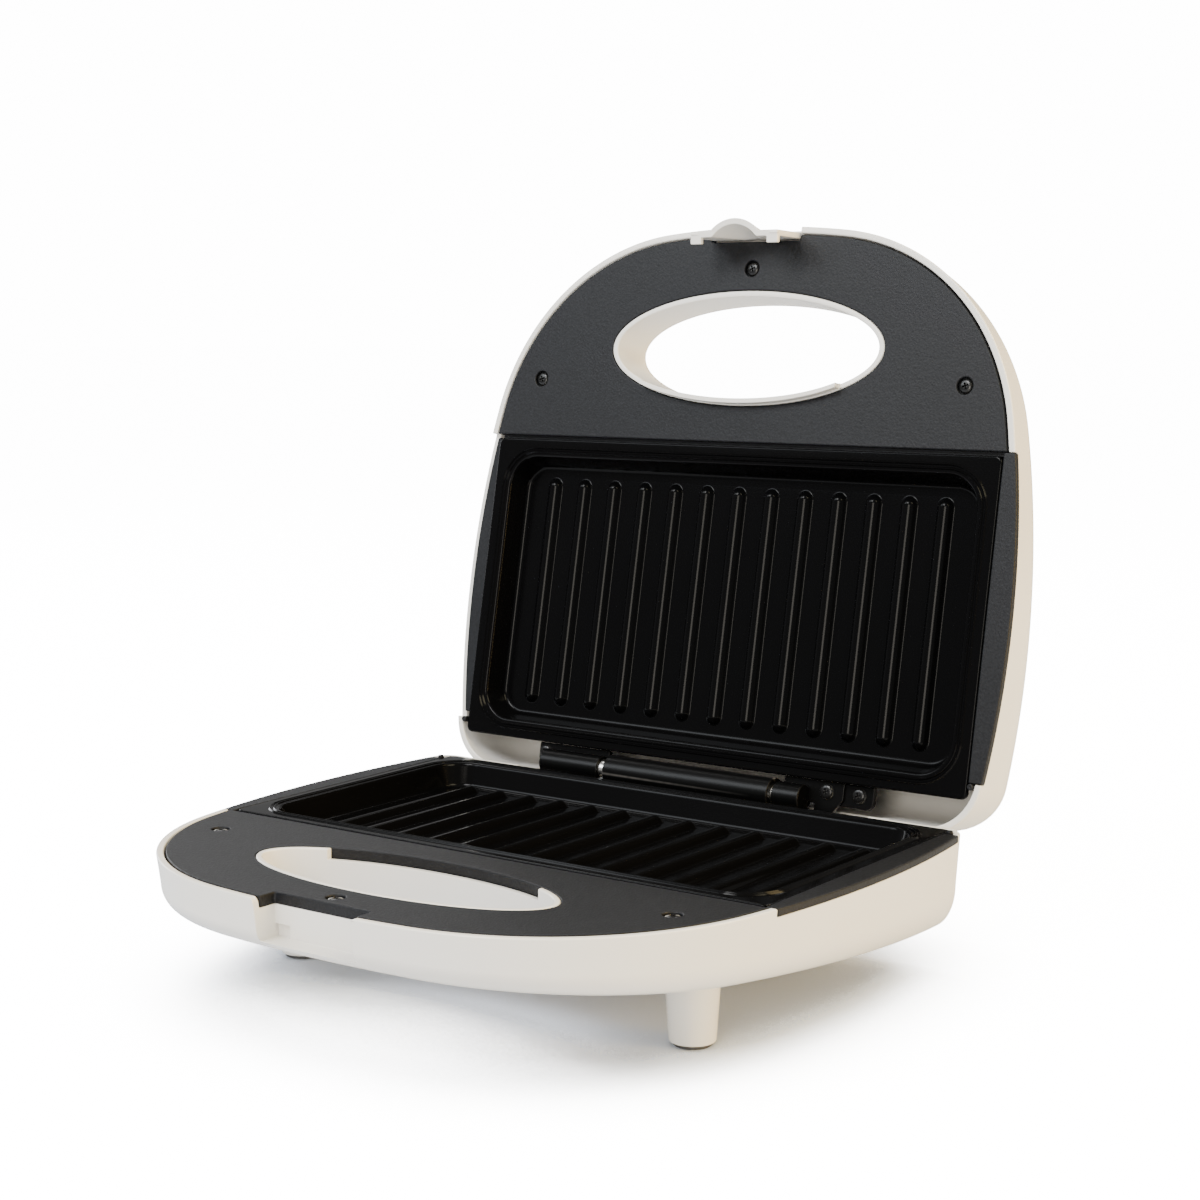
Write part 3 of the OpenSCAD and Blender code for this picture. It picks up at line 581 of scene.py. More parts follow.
def math_node(group: NodeGroup, operation: str, a: object, b: object) -> bpy.types.NodeSocket:
    """Adds a math node to a group.

    Args:
        group: The group.
        operation: What the node does.
        a: Its first input, a socket or a number.
        b: Its second input, a socket or a number.

    Returns:
        Its output.
    """
    made = group.node("ShaderNodeMath", operation=operation)
    for i, value in enumerate((a, b)):
        if isinstance(value, bpy.types.NodeSocket):
            group.link(value, made.inputs[i])
        else:
            made.inputs[i].default_value = value
    return made.outputs[0]


def moulded_grain() -> bpy.types.NodeTree:
    """The fine grain of moulded and cast surfaces, as a height.

    Returns:
        The group, which is built once.
    """
    found = bpy.data.node_groups.get("moulded_grain")
    if found:
        return found
    g = NodeGroup(
        "moulded_grain", {"Fine": 2500.0, "Coarse": 500.0, "Share": 0.3},
        {"Height": "NodeSocketFloat"},
    )
    place = g.node("ShaderNodeTexCoord")
    fine = g.node("ShaderNodeTexNoise")
    fine.inputs["Detail"].default_value = 2.0
    coarse = g.node("ShaderNodeTexNoise")
    coarse.inputs["Detail"].default_value = 3.0
    for tex, key in ((fine, "Fine"), (coarse, "Coarse")):
        g.link(place.outputs["Object"], tex.inputs["Vector"])
        g.link(g.inlet.outputs[key], tex.inputs["Scale"])
    rest = math_node(g, "SUBTRACT", 1.0, g.inlet.outputs["Share"])
    low = math_node(g, "MULTIPLY", coarse.outputs["Fac"], g.inlet.outputs["Share"])
    high = math_node(g, "MULTIPLY", fine.outputs["Fac"], rest)
    g.link(math_node(g, "ADD", low, high), g.outlet.inputs["Height"])
    return g.tree


def tone_drift() -> bpy.types.NodeTree:
    """Slow changes of tone over a surface with a fine speckle, from 0 to 1.

    Returns:
        The group, which is built once.
    """
    found = bpy.data.node_groups.get("tone_drift")
    if found:
        return found
    g = NodeGroup(
        "tone_drift", {"Scale": 12.0, "Speckle": 0.2, "Speck": 1800.0},
        {"Mask": "NodeSocketFloat"},
    )
    place = g.node("ShaderNodeTexCoord")
    slow = g.node("ShaderNodeTexNoise")
    slow.inputs["Detail"].default_value = 4.0
    slow.inputs["Roughness"].default_value = 0.6
    quick = g.node("ShaderNodeTexNoise")
    g.link(g.inlet.outputs["Speck"], quick.inputs["Scale"])
    quick.inputs["Detail"].default_value = 1.0
    g.link(place.outputs["Object"], slow.inputs["Vector"])
    g.link(g.inlet.outputs["Scale"], slow.inputs["Scale"])
    g.link(place.outputs["Object"], quick.inputs["Vector"])
    rest = math_node(g, "SUBTRACT", 1.0, g.inlet.outputs["Speckle"])
    low = math_node(g, "MULTIPLY", slow.outputs["Fac"], rest)
    high = math_node(g, "MULTIPLY", quick.outputs["Fac"], g.inlet.outputs["Speckle"])
    g.link(math_node(g, "ADD", low, high), g.outlet.inputs["Mask"])
    return g.tree


def edge_wear_and_glint() -> bpy.types.NodeTree:
    """A mask of the sharp edges: where hands and tools have rubbed, and on the screws where a
    glint is painted.

    Returns:
        The group, which is built once.
    """
    found = bpy.data.node_groups.get("edge_wear_and_glint")
    if found:
        return found
    g = NodeGroup("edge_wear_and_glint", {"Start": 0.54, "Gain": 14.0}, {"Mask": "NodeSocketFloat"})
    geometry = g.node("ShaderNodeNewGeometry")
    place = g.node("ShaderNodeTexCoord")
    patches = g.node("ShaderNodeTexNoise")
    patches.inputs["Scale"].default_value = 260.0
    patches.inputs["Detail"].default_value = 3.0
    g.link(place.outputs["Object"], patches.inputs["Vector"])
    over = math_node(g, "SUBTRACT", geometry.outputs["Pointiness"], g.inlet.outputs["Start"])
    strong = math_node(g, "MULTIPLY", over, g.inlet.outputs["Gain"])
    broken = math_node(g, "MULTIPLY", strong, patches.outputs["Fac"])
    clamp = g.node("ShaderNodeClamp")
    g.link(broken, clamp.inputs["Value"])
    g.link(clamp.outputs[0], g.outlet.inputs["Mask"])
    return g.tree


MIX_SHARE, MIX_A, MIX_B, MIX_RESULT = 0, 6, 7, 2


def placed(
    tree: bpy.types.NodeTree, group: bpy.types.NodeTree, **values: float
) -> bpy.types.Node:
    """Places a node group in a material.

    Args:
        tree: The material's nodes.
        group: The group.
        **values: The values of its inputs.

    Returns:
        The group's node.
    """
    node = tree.nodes.new("ShaderNodeGroup")
    node.node_tree = group
    for key, value in values.items():
        node.inputs[key].default_value = value
    return node


def colour_mix(tree: bpy.types.NodeTree, mask: bpy.types.NodeSocket) -> bpy.types.Node:
    """Adds a mix of two colours that follows a mask.

    Args:
        tree: The material's nodes.
        mask: The share of the second colour.

    Returns:
        The mix's node.
    """
    mix = tree.nodes.new("ShaderNodeMix")
    mix.data_type = "RGBA"
    tree.links.new(mask, mix.inputs[MIX_SHARE])
    return mix


def gloss_range(
    tree: bpy.types.NodeTree, mask: bpy.types.NodeSocket, rough: tuple[float, float]
) -> bpy.types.NodeSocket:
    """Adds a roughness that follows a mask.

    Args:
        tree: The material's nodes.
        mask: The mask.
        rough: The roughness where the mask is 0 and where it is 1.

    Returns:
        The roughness.
    """
    gloss = tree.nodes.new("ShaderNodeMapRange")
    for key, value in zip(("To Min", "To Max"), rough):
        gloss.inputs[key].default_value = value
    tree.links.new(mask, gloss.inputs["Value"])
    return gloss.outputs[0]


@dataclass(frozen=True)
class Finish:
    """A surface finish: two tones, its gloss, and its grain."""

    name: str
    dark: Colour
    light: Colour
    rough: tuple[float, float]
    metallic: float = 0.0
    drift_scale: float = 14.0
    speckle: float = 0.15
    speck: float = 1800.0
    fine: float = 2500.0
    coarse: float = 420.0
    share: float = 0.3
    bump: float = 0.08
    relief: float = 0.05
    specular: float = 0.5
    # A lighter colour at sharp edges: rubbed paint on the hinge, and on the screws partly rubbed
    # metal and partly a painted glint.
    wear_and_glint: Optional[Colour] = None
    wear_and_glint_gain: float = 10.0

    def build(self) -> bpy.types.Material:
        """Makes the material, once.

        Returns:
            The material.
        """
        found = bpy.data.materials.get(self.name)
        if found:
            return found
        material = bpy.data.materials.new(self.name)
        material.use_nodes = True
        tree = material.node_tree
        shader = tree.nodes["Principled BSDF"]
        shader.inputs["Metallic"].default_value = self.metallic
        shader.inputs["Specular IOR Level"].default_value = self.specular
        drift = placed(
            tree, tone_drift(), Scale=self.drift_scale, Speckle=self.speckle, Speck=self.speck
        ).outputs["Mask"]
        tones = colour_mix(tree, drift)
        tones.inputs[MIX_A].default_value = (*self.dark, 1.0)
        tones.inputs[MIX_B].default_value = (*self.light, 1.0)
        colour = tones.outputs[MIX_RESULT]
        if self.wear_and_glint is not None:
            colour = self._wear_and_glint(tree, colour)
        tree.links.new(colour, shader.inputs["Base Color"])
        tree.links.new(gloss_range(tree, drift, self.rough), shader.inputs["Roughness"])
        grain = placed(
            tree, moulded_grain(), Fine=self.fine, Coarse=self.coarse, Share=self.share
        )
        bump = tree.nodes.new("ShaderNodeBump")
        bump.inputs["Strength"].default_value = self.bump
        bump.inputs["Distance"].default_value = self.relief * MM
        tree.links.new(grain.outputs["Height"], bump.inputs["Height"])
        tree.links.new(bump.outputs["Normal"], shader.inputs["Normal"])
        return material

    def _wear_and_glint(
        self, tree: bpy.types.NodeTree, colour: bpy.types.NodeSocket
    ) -> bpy.types.NodeSocket:
        """Lets a lighter tone show at the sharp edges: rubbed paint, and on the screws also a
        painted glint.

        Args:
            tree: The material's nodes.
            colour: The finish's colour.

        Returns:
            The colour with its lighter edges.
        """
        mask = placed(tree, edge_wear_and_glint(), Gain=self.wear_and_glint_gain)
        mix = colour_mix(tree, mask.outputs["Mask"])
        mix.inputs[MIX_B].default_value = (*self.wear_and_glint, 1.0)
        tree.links.new(colour, mix.inputs[MIX_A])
        return mix.outputs[MIX_RESULT]


@dataclass(frozen=True)
class LensFinish:
    """The tinted clear plastic of a signal lamp."""

    name: str
    tint: Colour
    drift_scale: float = 90.0
    gloss: tuple[float, float] = (0.08, 0.2)
    coat: float = 0.6
    ior: float = 1.49
    lift: Point2 = (1.5, 0.02)

    def _paler(self) -> Colour:
        """The tint where the plastic is thin."""
        gain, base = self.lift
        return tuple(min(1.0, gain * c + base) for c in self.tint)

    def build(self) -> bpy.types.Material:
        """Makes the material.

        Returns:
            The material.
        """
        material = bpy.data.materials.new(self.name)
        material.use_nodes = True
        tree = material.node_tree
        shader = tree.nodes["Principled BSDF"]
        shader.inputs["IOR"].default_value = self.ior
        shader.inputs["Coat Weight"].default_value = self.coat
        drift = placed(tree, tone_drift(), Scale=self.drift_scale).outputs["Mask"]
        tones = colour_mix(tree, drift)
        tones.inputs[MIX_A].default_value = (*self.tint, 1.0)
        tones.inputs[MIX_B].default_value = (*self._paler(), 1.0)
        tree.links.new(tones.outputs[MIX_RESULT], shader.inputs["Base Color"])
        tree.links.new(gloss_range(tree, drift, self.gloss), shader.inputs["Roughness"])
        return material


CASING = Finish(
    "gloss_white_casing", (0.7, 0.675, 0.63), (0.76, 0.74, 0.7), (0.2, 0.28),
    drift_scale=9.0, speckle=0.05, fine=900.0, coarse=60.0, share=0.6, bump=0.04, relief=0.05,
)
COVER = Finish(
    "charcoal_textured_cover", (0.0005, 0.0006, 0.001), (0.0105, 0.0113, 0.0137), (0.44, 0.56),
    drift_scale=20.0, speckle=0.66, speck=1050.0, fine=1300.0, coarse=700.0, share=0.4,
    bump=0.9, relief=0.16, specular=0.22,
)
PLATE = Finish(
    "nonstick_coating", (0.0013, 0.0013, 0.0014), (0.0022, 0.0022, 0.0024), (0.12, 0.17),
    drift_scale=18.0, speckle=0.3, fine=1600.0, coarse=380.0, share=0.45, bump=0.08,
    relief=0.03, specular=0.075,
)
HINGE = Finish(
    "black_hinge_paint", (0.001, 0.001, 0.001), (0.002, 0.002, 0.002), (0.26, 0.34),
    drift_scale=60.0, speckle=0.3, fine=1500.0, coarse=500.0, bump=0.25, relief=0.05,
    specular=0.12, wear_and_glint=(0.2, 0.19, 0.18), wear_and_glint_gain=7.0,
)
# the light edge tone of the screws is partly rubbed metal and partly a painted glint
SCREW = Finish(
    "blackened_screw", (0.005, 0.005, 0.005), (0.014, 0.014, 0.014), (0.2, 0.32), metallic=0.5,
    drift_scale=150.0, speckle=0.4, fine=3000.0, coarse=900.0, bump=0.15,
    wear_and_glint=(0.4, 0.39, 0.37), wear_and_glint_gain=12.0,
)
ZINC = Finish(
    "zinc_plate", (0.42, 0.42, 0.41), (0.6, 0.6, 0.58), (0.25, 0.45), metallic=1.0,
    drift_scale=120.0, speckle=0.4, fine=2500.0, coarse=700.0, bump=0.15,
)
STEEL = Finish(
    "bright_pin", (0.55, 0.54, 0.52), (0.78, 0.77, 0.74), (0.16, 0.3), metallic=1.0,
    drift_scale=80.0, speckle=0.3, fine=3000.0, coarse=300.0, bump=0.12,
)
RUBBER = Finish(
    "foot_rubber", (0.045, 0.045, 0.046), (0.075, 0.075, 0.075), (0.6, 0.8),
    drift_scale=90.0, speckle=0.4, fine=2200.0, coarse=600.0, bump=0.5, relief=0.08,
)
BUSHING = Finish(
    "bushing_rubber", (0.016, 0.016, 0.016), (0.026, 0.026, 0.026), (0.45, 0.6),
    drift_scale=90.0, speckle=0.4, fine=2200.0, coarse=600.0, bump=0.4, relief=0.06,
)
HEATER = Finish(
    "oxidised_heater", (0.12, 0.11, 0.1), (0.3, 0.28, 0.26), (0.4, 0.6), metallic=0.8,
    drift_scale=70.0, speckle=0.3, fine=1800.0, coarse=400.0, bump=0.3,
)
SHIELD = Finish(
    "aluminised_sheet", (0.5, 0.5, 0.49), (0.68, 0.68, 0.66), (0.3, 0.5), metallic=1.0,
    drift_scale=40.0, speckle=0.4, fine=1200.0, coarse=120.0, bump=0.2,
)
PHENOLIC = Finish(
    "brown_phenolic", (0.03, 0.018, 0.012), (0.06, 0.035, 0.022), (0.4, 0.55),
    drift_scale=160.0, speckle=0.4, bump=0.2,
)
CERAMIC = Finish(
    "white_terminal_block", (0.68, 0.66, 0.6), (0.8, 0.78, 0.73), (0.4, 0.55),
    drift_scale=100.0, speckle=0.3, bump=0.2,
)
FUSE = Finish(
    "fuse_enamel", (0.5, 0.46, 0.36), (0.66, 0.62, 0.5), (0.3, 0.45), metallic=1.0,
    drift_scale=200.0, speckle=0.3, bump=0.15,
)
LAMP = Finish(
    "lamp_envelope", (0.75, 0.75, 0.72), (0.9, 0.9, 0.86), (0.1, 0.2),
    drift_scale=200.0, speckle=0.2, bump=0.05,
)
PAPER = Finish(
    "studio_paper", (0.61, 0.65, 0.73), (0.65, 0.69, 0.77), (0.75, 0.85),
    drift_scale=1.5, speckle=0.1, fine=400.0, coarse=30.0, bump=0.02,
)


# ------------------------------------------------------------------------------- the halves


@dataclass(frozen=True)
class BodyForm:
    """The form that both halves share: their outline from above and their section."""

    body_w: float = 236.2
    front_y: float = 206.4
    widest_y: float = 66.8
    corner_r: float = 84.0
    side_bulge: float = 5.1
    front_bulge: float = 1.6
    depth_at_hinge: float = 33.5
    belly_angle: float = 4.7
    wall: float = 2.4
    wall_lean: float = 1.2
    wall_share: float = 0.55
    edge_in: float = 8.5
    handle_len: float = 80.5
    strip_w: float = 4.45
    slit: float = 1.5
    plate_rear: float = 7.2
    rim_w: float = 2.85
    gap: float = 0.2
    oval_back: float = 45.5
    oval_a: float = 59.1
    oval_b: float = 21.6
    sleeve_t: float = 2.2
    arc_steps: tuple[int, int, int, int] = (10, 36, 26, 12)

    def _arcs(self) -> tuple[float, ...]:
        """The arcs that the outline is made of.

        Returns:
            The corner's centre, the radii of the front and the side, and their turns in
            degrees.
        """
        cx = self.body_w / 2 - self.corner_r - self.side_bulge
        cy = self.front_y - self.corner_r - self.front_bulge

        def tangent(reach: float, side: float) -> float:
            """Radius of an arc that runs smoothly into the corner."""
            square = reach * reach + side * side - self.corner_r ** 2
            return square / (2 * (reach - self.corner_r))

        front_r = tangent(self.corner_r + self.front_bulge, cx)
        side_r = tangent(self.corner_r + self.side_bulge, cy - self.widest_y)
        front_turn = math.degrees(math.atan2(cx, front_r - self.corner_r - self.front_bulge))
        side_turn = math.degrees(
            math.atan2(cy - self.widest_y, side_r - self.corner_r - self.side_bulge)
        )
        return cx, cy, front_r, side_r, front_turn, side_turn

    def side_x(self, y: float) -> float:
        """Half the width of the body.

        Args:
            y: Distance from the hinge axis.

        Returns:
            The distance of its side from the middle line.
        """
        _, _, _, side_r, _, _ = self._arcs()
        centre = self.body_w / 2 - side_r
        return centre + math.sqrt(side_r ** 2 - (y - self.widest_y) ** 2)

    def half_outline(self, rear: float, rear_r: float, inset: float) -> Contour:
        """The right half of the outline, from the front's middle round to the rear.

        Args:
            rear: Distance of the rear edge from the hinge axis.
            rear_r: Radius of the rear corners.
            inset: Distance inside the body's outline.

        Returns:
            The points, with the front's middle and without the rear's.
        """
        cx, cy, front_r, side_r, front_turn, side_turn = self._arcs()
        side_c = self.body_w / 2 - side_r
        r = max(rear_r - inset, 1.0)
        y = rear + inset + r
        reach = side_r - inset - r
        x = side_c + math.sqrt(reach ** 2 - (self.widest_y - y) ** 2)
        turn = -math.degrees(math.asin((self.widest_y - y) / reach))
        front, corner, side, rear_corner = self.arc_steps
        points = arc(0, self.front_y - front_r, front_r - inset, 90, 90 - front_turn, front)
        points += arc(cx, cy, self.corner_r - inset, 90 - front_turn, side_turn, corner)[1:]
        points += arc(side_c, self.widest_y, side_r - inset, side_turn, turn, side)[1:]
        points += arc(x, y, r, turn, -90, rear_corner)[1:]
        return points

    def outline(self, rear: float, rear_r: float, inset: float) -> Contour:
        """The whole outline, counterclockwise.

        Args:
            rear: Distance of the rear edge from the hinge axis.
            rear_r: Radius of the rear corners.
            inset: Distance inside the body's outline.

        Returns:
            The points.
        """
        right = self.half_outline(rear, rear_r, inset)
        left = [(-x, y) for x, y in right[1:]]
        return right[:1] + left + right[:0:-1]

    def depth(self, y: float) -> float:
        """Depth of the outer face at a distance from the hinge axis."""
        return self.depth_at_hinge - y * math.tan(math.radians(self.belly_angle))

    @property
    def cover_rear(self) -> float:
        """Distance from the hinge axis to the handle cover."""
        return self.front_y - self.handle_len

    @property
    def plate_front(self) -> float:
        """Distance from the hinge axis to the plate's front edge."""
        return self.cover_rear - self.slit

    @property
    def plate_half_w(self) -> float:
        """Half the width of the grill plate."""
        return self.side_x(self.cover_rear) - self.strip_w

    @property
    def plate_mid(self) -> float:
        """Distance from the hinge axis to the middle of the grill plate."""
        return (self.plate_front + self.plate_rear) / 2

    @property
    def plate_half_d(self) -> float:
        """Half the depth of the grill plate."""
        return (self.plate_front - self.plate_rear) / 2

    @property
    def rim_in(self) -> float:
        """Distance from the body's outline to the cover's edge."""
        return self.rim_w + self.gap

    @property
    def oval_y(self) -> float:
        """Distance from the hinge axis to the middle of the hand hole."""
        return self.front_y - self.oval_back


FORM = BodyForm()


@dataclass(frozen=True)
class Half:
    """One half of the toaster: its rear edge, its notch and its way into the room."""

    name: str
    body: str
    rear: float
    rear_r: float
    notch: float
    to_room: Matrix

    def outline(self, inset: float) -> Contour:
        """The outline of this half at an inset."""
        return FORM.outline(self.rear, self.rear_r, inset)


@dataclass(frozen=True)
class Mounting:
    """Where the two halves stand in the room, from the frame's hinge joint."""

    hinge_rise: float = 1.4
    plate_gap: float = 2.0

    def halves(self) -> tuple[Half, Half]:
        """Makes the base half and the lid half.

        Returns:
            The base half, then the lid half.
        """
        joint = next(j for j in frame["joints"] if j["name"] == "lid_hinge")
        _, hinge_y, hinge_z = joint["pos_m"]
        opened = math.radians(joint["range_deg"][1])
        seat = Matrix.Translation((0, hinge_y, hinge_z - self.hinge_rise * MM))
        base = seat @ Matrix.Rotation(math.pi, 4, "X") @ Matrix.Scale(MM, 4)
        axis = Matrix.Translation((0, hinge_y, hinge_z)) @ Matrix.Rotation(-opened, 4, "X")
        lift = Matrix.Translation((0, 0, (self.plate_gap - self.hinge_rise) * MM))
        mirror = Matrix.Diagonal((1, -1, 1, 1))
        lid = axis @ lift @ mirror @ Matrix.Scale(MM, 4)
        return (
            Half("base", "base", rear=5.6, rear_r=8.0, notch=10.0, to_room=base),
            Half("lid", "lid", rear=-6.2, rear_r=21.0, notch=5.7, to_room=lid),
        )


class Workshop:
    """Turns finished meshes into pieces of the scene."""

    made: int = 0

    @classmethod
    def piece(
        cls,
        obj: bpy.types.Object,
        name: str,
        half: Half,
        finish: Finish | LensFinish,
        slot: str,
        node: str,
        body: Optional[str] = None,
        smooth: float = 38,
    ) -> bpy.types.Object:
        """Moves a mesh into the room, gives it its finish and lets it stand for its node.

        Args:
            obj: The object, in millimetres in the half's frame.
            name: Name of the piece.
            half: The half that carries it.
            finish: Its finish.
            slot: The record's material slot; it is not used.
            node: The node that it stands for.
            body: The body that it rides on, where that isn't the half's.
            smooth: Angle in degrees up to which edges are shaded smooth.

        Returns:
            The piece.
        """
        obj.name = name
        obj.data.name = name
        obj.data.transform(half.to_room)
        bm = bmesh.new()
        bm.from_mesh(obj.data)
        bmesh.ops.recalc_face_normals(bm, faces=bm.faces)
        bm.to_mesh(obj.data)
        bm.free()
        obj.data.polygons.foreach_set("use_smooth", [True] * len(obj.data.polygons))
        obj.data.set_sharp_from_angle(angle=math.radians(smooth))
        weigh = obj.modifiers.new("even_normals", "WEIGHTED_NORMAL")
        weigh.keep_sharp = True
        obj.data.materials.clear()
        obj.data.materials.append(finish.build())
        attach(obj, body or half.body)
        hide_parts(node)
        cls.made += 1
        LOG.info("%s stands for %s, %d faces", name, node, len(obj.data.polygons))
        return obj


BUSHING_AT = (-86.1, 19.0)
COVER_CUP = 1.8
LAMP_X = 12.0
LAMP_BACK = 78.4
LENS_R = 4.0


def bushing_place(y: float) -> Matrix:
    """The place of the bushing's bore at y, whose axis runs forward."""
    x, z = BUSHING_AT
    return Matrix.Translation((x, y, z)) @ Matrix.Rotation(-math.pi / 2, 4, "X")


@dataclass
class Casing:
    """A moulded half shell with its rim, its hand hole and its notch.

    A cut that runs out of the shell starts `clear` outside it.
    """

    half: Half
    inner_turns: tuple[int, ...] = (90, 75, 60, 45, 30, 15, 0)
    outer_turns: tuple[int, ...] = tuple(range(0, 91, 6))
    core_turns: tuple[int, ...] = (0, 20, 40, 60, 75, 90)
    rim_round: float = 0.55
    hole_flare: float = 1.6
    flare_steps: int = 5
    belly_step: float = 0.8
    rebate_h: float = 2.5
    strip_rear: float = 13.0
    notch_half_w: float = 19.3
    lip_half_w: float = 43.0
    core_in: float = 1.2
    core_top: float = 1.0
    core_end: float = 60.0
    clear: float = 1.0
    cut_edge: float = 0.3

    @staticmethod
    def _rounding(a: float) -> tuple[float, float]:
        """The elliptical edge between the wall and the belly.

        Args:
            a: Angle along the edge in degrees, 0 at the wall and 90 at the belly.

        Returns:
            The inset, and the share of the depth.
        """
        turn = math.radians(a)
        return (
            FORM.wall_lean + FORM.edge_in * (1 - math.cos(turn)),
            FORM.wall_share + (1 - FORM.wall_share) * math.sin(turn),
        )

    def _skin(self) -> bmesh.types.BMesh:
        """The shell with its hand hole and the sleeve that lines it.

        Returns:
            The closed mesh.
        """
        bm = bmesh.new()
        wall, r = FORM.wall, self.rim_round

        def swept(inset: float, share: float, less: float, add: float = 0.0) -> Ring:
            """A ring at a share of the depth, less some of it."""
            points = self.half.outline(inset)
            return ring(bm, [(x, y, (FORM.depth(y) - less) * share + add) for x, y in points])

        rounding = self._rounding
        rings = []
        for a in self.inner_turns:
            inset, share = rounding(a)
            rings.append(swept(inset + wall, share, wall))
        for inset, z in reversed(fillet(r, 0.0)):
            rings.append(swept(wall - inset, 0.0, 0.0, z))
        for inset, z in fillet(r, 0.0):
            rings.append(swept(inset, 0.0, 0.0, z))
        rings.append(swept(FORM.wall_lean / 2, FORM.wall_share / 2, 0.0))
        for a in self.outer_turns:
            inset, share = rounding(a)
            rings.append(swept(inset, share, 0.0))
        rings.append(swept(rounding(90)[0] + self.belly_step, 1.0, 0.0))
        for a, b in zip(rings, rings[1:]):
            band(bm, a, b)

        def oval(inset: float, z: Callable[[float], float]) -> Ring:
            """A ring round the hand hole, at a depth that may change along y."""
            points = ellipse(FORM.oval_a - inset, FORM.oval_b - inset, FORM.oval_y)
            return ring(bm, [(x, y, z(y)) for x, y in points])

        out, bore = FORM.gap, FORM.gap + FORM.sleeve_t
        tube = [oval(out, lambda y: FORM.depth(y) - wall)]
        for inset, z in reversed(fillet(r, 0.0)):
            tube.append(oval(out + inset, lambda y, z=z: z))
        for inset, z in fillet(r, 0.0):
            tube.append(oval(bore - inset, lambda y, z=z: z))
        for inset, z in reversed(fillet(self.hole_flare, 0.0, self.flare_steps)):
            tube.append(oval(bore - inset, lambda y, z=z: FORM.depth(y) - z))
        for a, b in zip(tube, tube[1:]):
            band(bm, a, b)
        lid_over(bm, rings[0], [tube[0]])
        lid_over(bm, rings[-1], [tube[-1]])
        bmesh.ops.recalc_face_normals(bm, faces=bm.faces)
        return bm

    @staticmethod
    def _across(x: float, y0: float, y1: float, z0: float, z1: float) -> bmesh.types.BMesh:
        """A block that reaches x to both sides of the middle line."""
        return block((-x, y0, z0), (x, y1, z1))

    def _front_block(self, half_w: float, back: float, top: float) -> bmesh.types.BMesh:
        """The solid behind the notch, which stays within the shell's outer face.

        Args:
            half_w: Half its width.
            back: Its distance behind the front.
            top: Its depth below the rim.

        Returns:
            The solid.
        """
        rings = []
        bm = bmesh.new()
        for a in self.core_turns:
            inset, share = self._rounding(a)
            points = self.half.outline(inset + self.core_in)
            rings.append(ring(bm, [
                (x, y, (FORM.depth(y) - self.core_in) * share) for x, y in points
            ]))
        foot = ring(bm, [(*v.co.xy, self.core_top) for v in rings[0]])
        for a, b in zip([foot] + rings, rings):
            band(bm, a, b)
        lid_over(bm, foot)
        lid_over(bm, rings[-1])
        bmesh.ops.recalc_face_normals(bm, faces=bm.faces)
        core = scratch_object(bm)
        front = FORM.front_y
        room = self._across(half_w, front - back, front + self.clear, top, self.core_end)
        work(core, room, Joining.KEEP)
        return taken(core)

    def _rebate(self, obj: bpy.types.Object) -> None:
        """Cuts the rebate for the frame's side strips."""
        rear = self.strip_rear - FORM.gap
        work(obj, self._across(FORM.body_w, rear, FORM.cover_rear, -2 * self.clear, self.rebate_h))

    def _finish(self, obj: bpy.types.Object) -> bpy.types.Object:
        """Rounds the cut edges and dresses the shell.

        Args:
            obj: The shell.

        Returns:
            The piece.
        """
        soften(obj, self.cut_edge)
        name = self.half.name
        return Workshop.piece(
            obj, f"{name}_casing", self.half, CASING, "shell_plastic", f"{name}_shell"
        )


@dataclass
class BaseCasing(Casing):
    """The base's half shell, with the notch that the latch hooks into."""

    step_h: float = 3.6
    notch_floor: float = 13.8
    notch_corner_r: float = 1.8
    ledge_z: float = 9.8
    pocket_w: float = 5.8
    catch_back: float = 11.41
    block_back: float = 13.4
    block_top: float = 3.7
    window: tuple[float, float, float] = (-76.4, 76.7, 6.4)
    flange_seat: tuple[float, float] = (4.8, 5.0)
    bore_r: float = 6.2
    bore: tuple[float, float] = (-4.0, 20.0)
    boss_r: float = 9.0
    boss_len: float = 4.8
    boss_in: float = 0.4
    boss_edge: float = 0.4

    def build(self) -> bpy.types.Object:
        """Makes the base's shell.

        Returns:
            The piece.
        """
        obj = scratch_object(self._skin())
        out, front, rear = self.clear, FORM.front_y, FORM.plate_rear
        half_w = self.notch_half_w
        work(obj, self._front_block(half_w + FORM.wall, self.block_back, self.block_top),
             Joining.FUSE)
        boss = round_corners([
            (AXIS_R, 0), (self.boss_r, 0), (self.boss_r, self.boss_len), (AXIS_R, self.boss_len)
        ], self.boss_edge)
        work(obj, lathe(boss, bushing_place(self.half.rear + self.boss_in)), Joining.FUSE)
        start, end = self.bore
        bore = [(AXIS_R, start), (self.bore_r, start), (self.bore_r, end), (AXIS_R, end)]
        work(obj, lathe(bore, bushing_place(self.half.rear)))
        oval_rear = FORM.oval_y - FORM.oval_b - out
        work(obj, self._across(self.lip_half_w, oval_rear, FORM.oval_y, -out, self.step_h))
        self._rebate(obj)
        x0, x1, deep = self.window
        work(obj, block((x0, 0.0, -out), (x1, rear, deep)))
        wide, (long, deep) = FORM.plate_half_w + FORM.gap, self.flange_seat
        work(obj, self._across(wide, rear - FORM.gap, rear + long, -1.5 * out, deep))
        work(obj, bar(self._notch_section(), front - self.half.notch, front + 3 * out))
        for side in (-1, 1):
            x = side * (half_w - self.pocket_w / 2)
            work(obj, block(
                (x - self.pocket_w / 2, front - self.catch_back, self.ledge_z),
                (x + self.pocket_w / 2, front - out, self.notch_floor - NUDGE),
            ))
        return self._finish(obj)

    def _notch_section(self) -> Contour:
        """The notch seen from the front, with its corners at the rim rounded.

        Returns:
            The contour, of x and z.
        """
        w, r, top = self.notch_half_w, self.notch_corner_r, -2 * self.clear
        right = arc(w + r, r, r, 270, 180, 8) + [(w, self.notch_floor)]
        left = [(-x, z) for x, z in reversed(right)]
        return [(w + r, top)] + right + left + [(-w - r, top)]


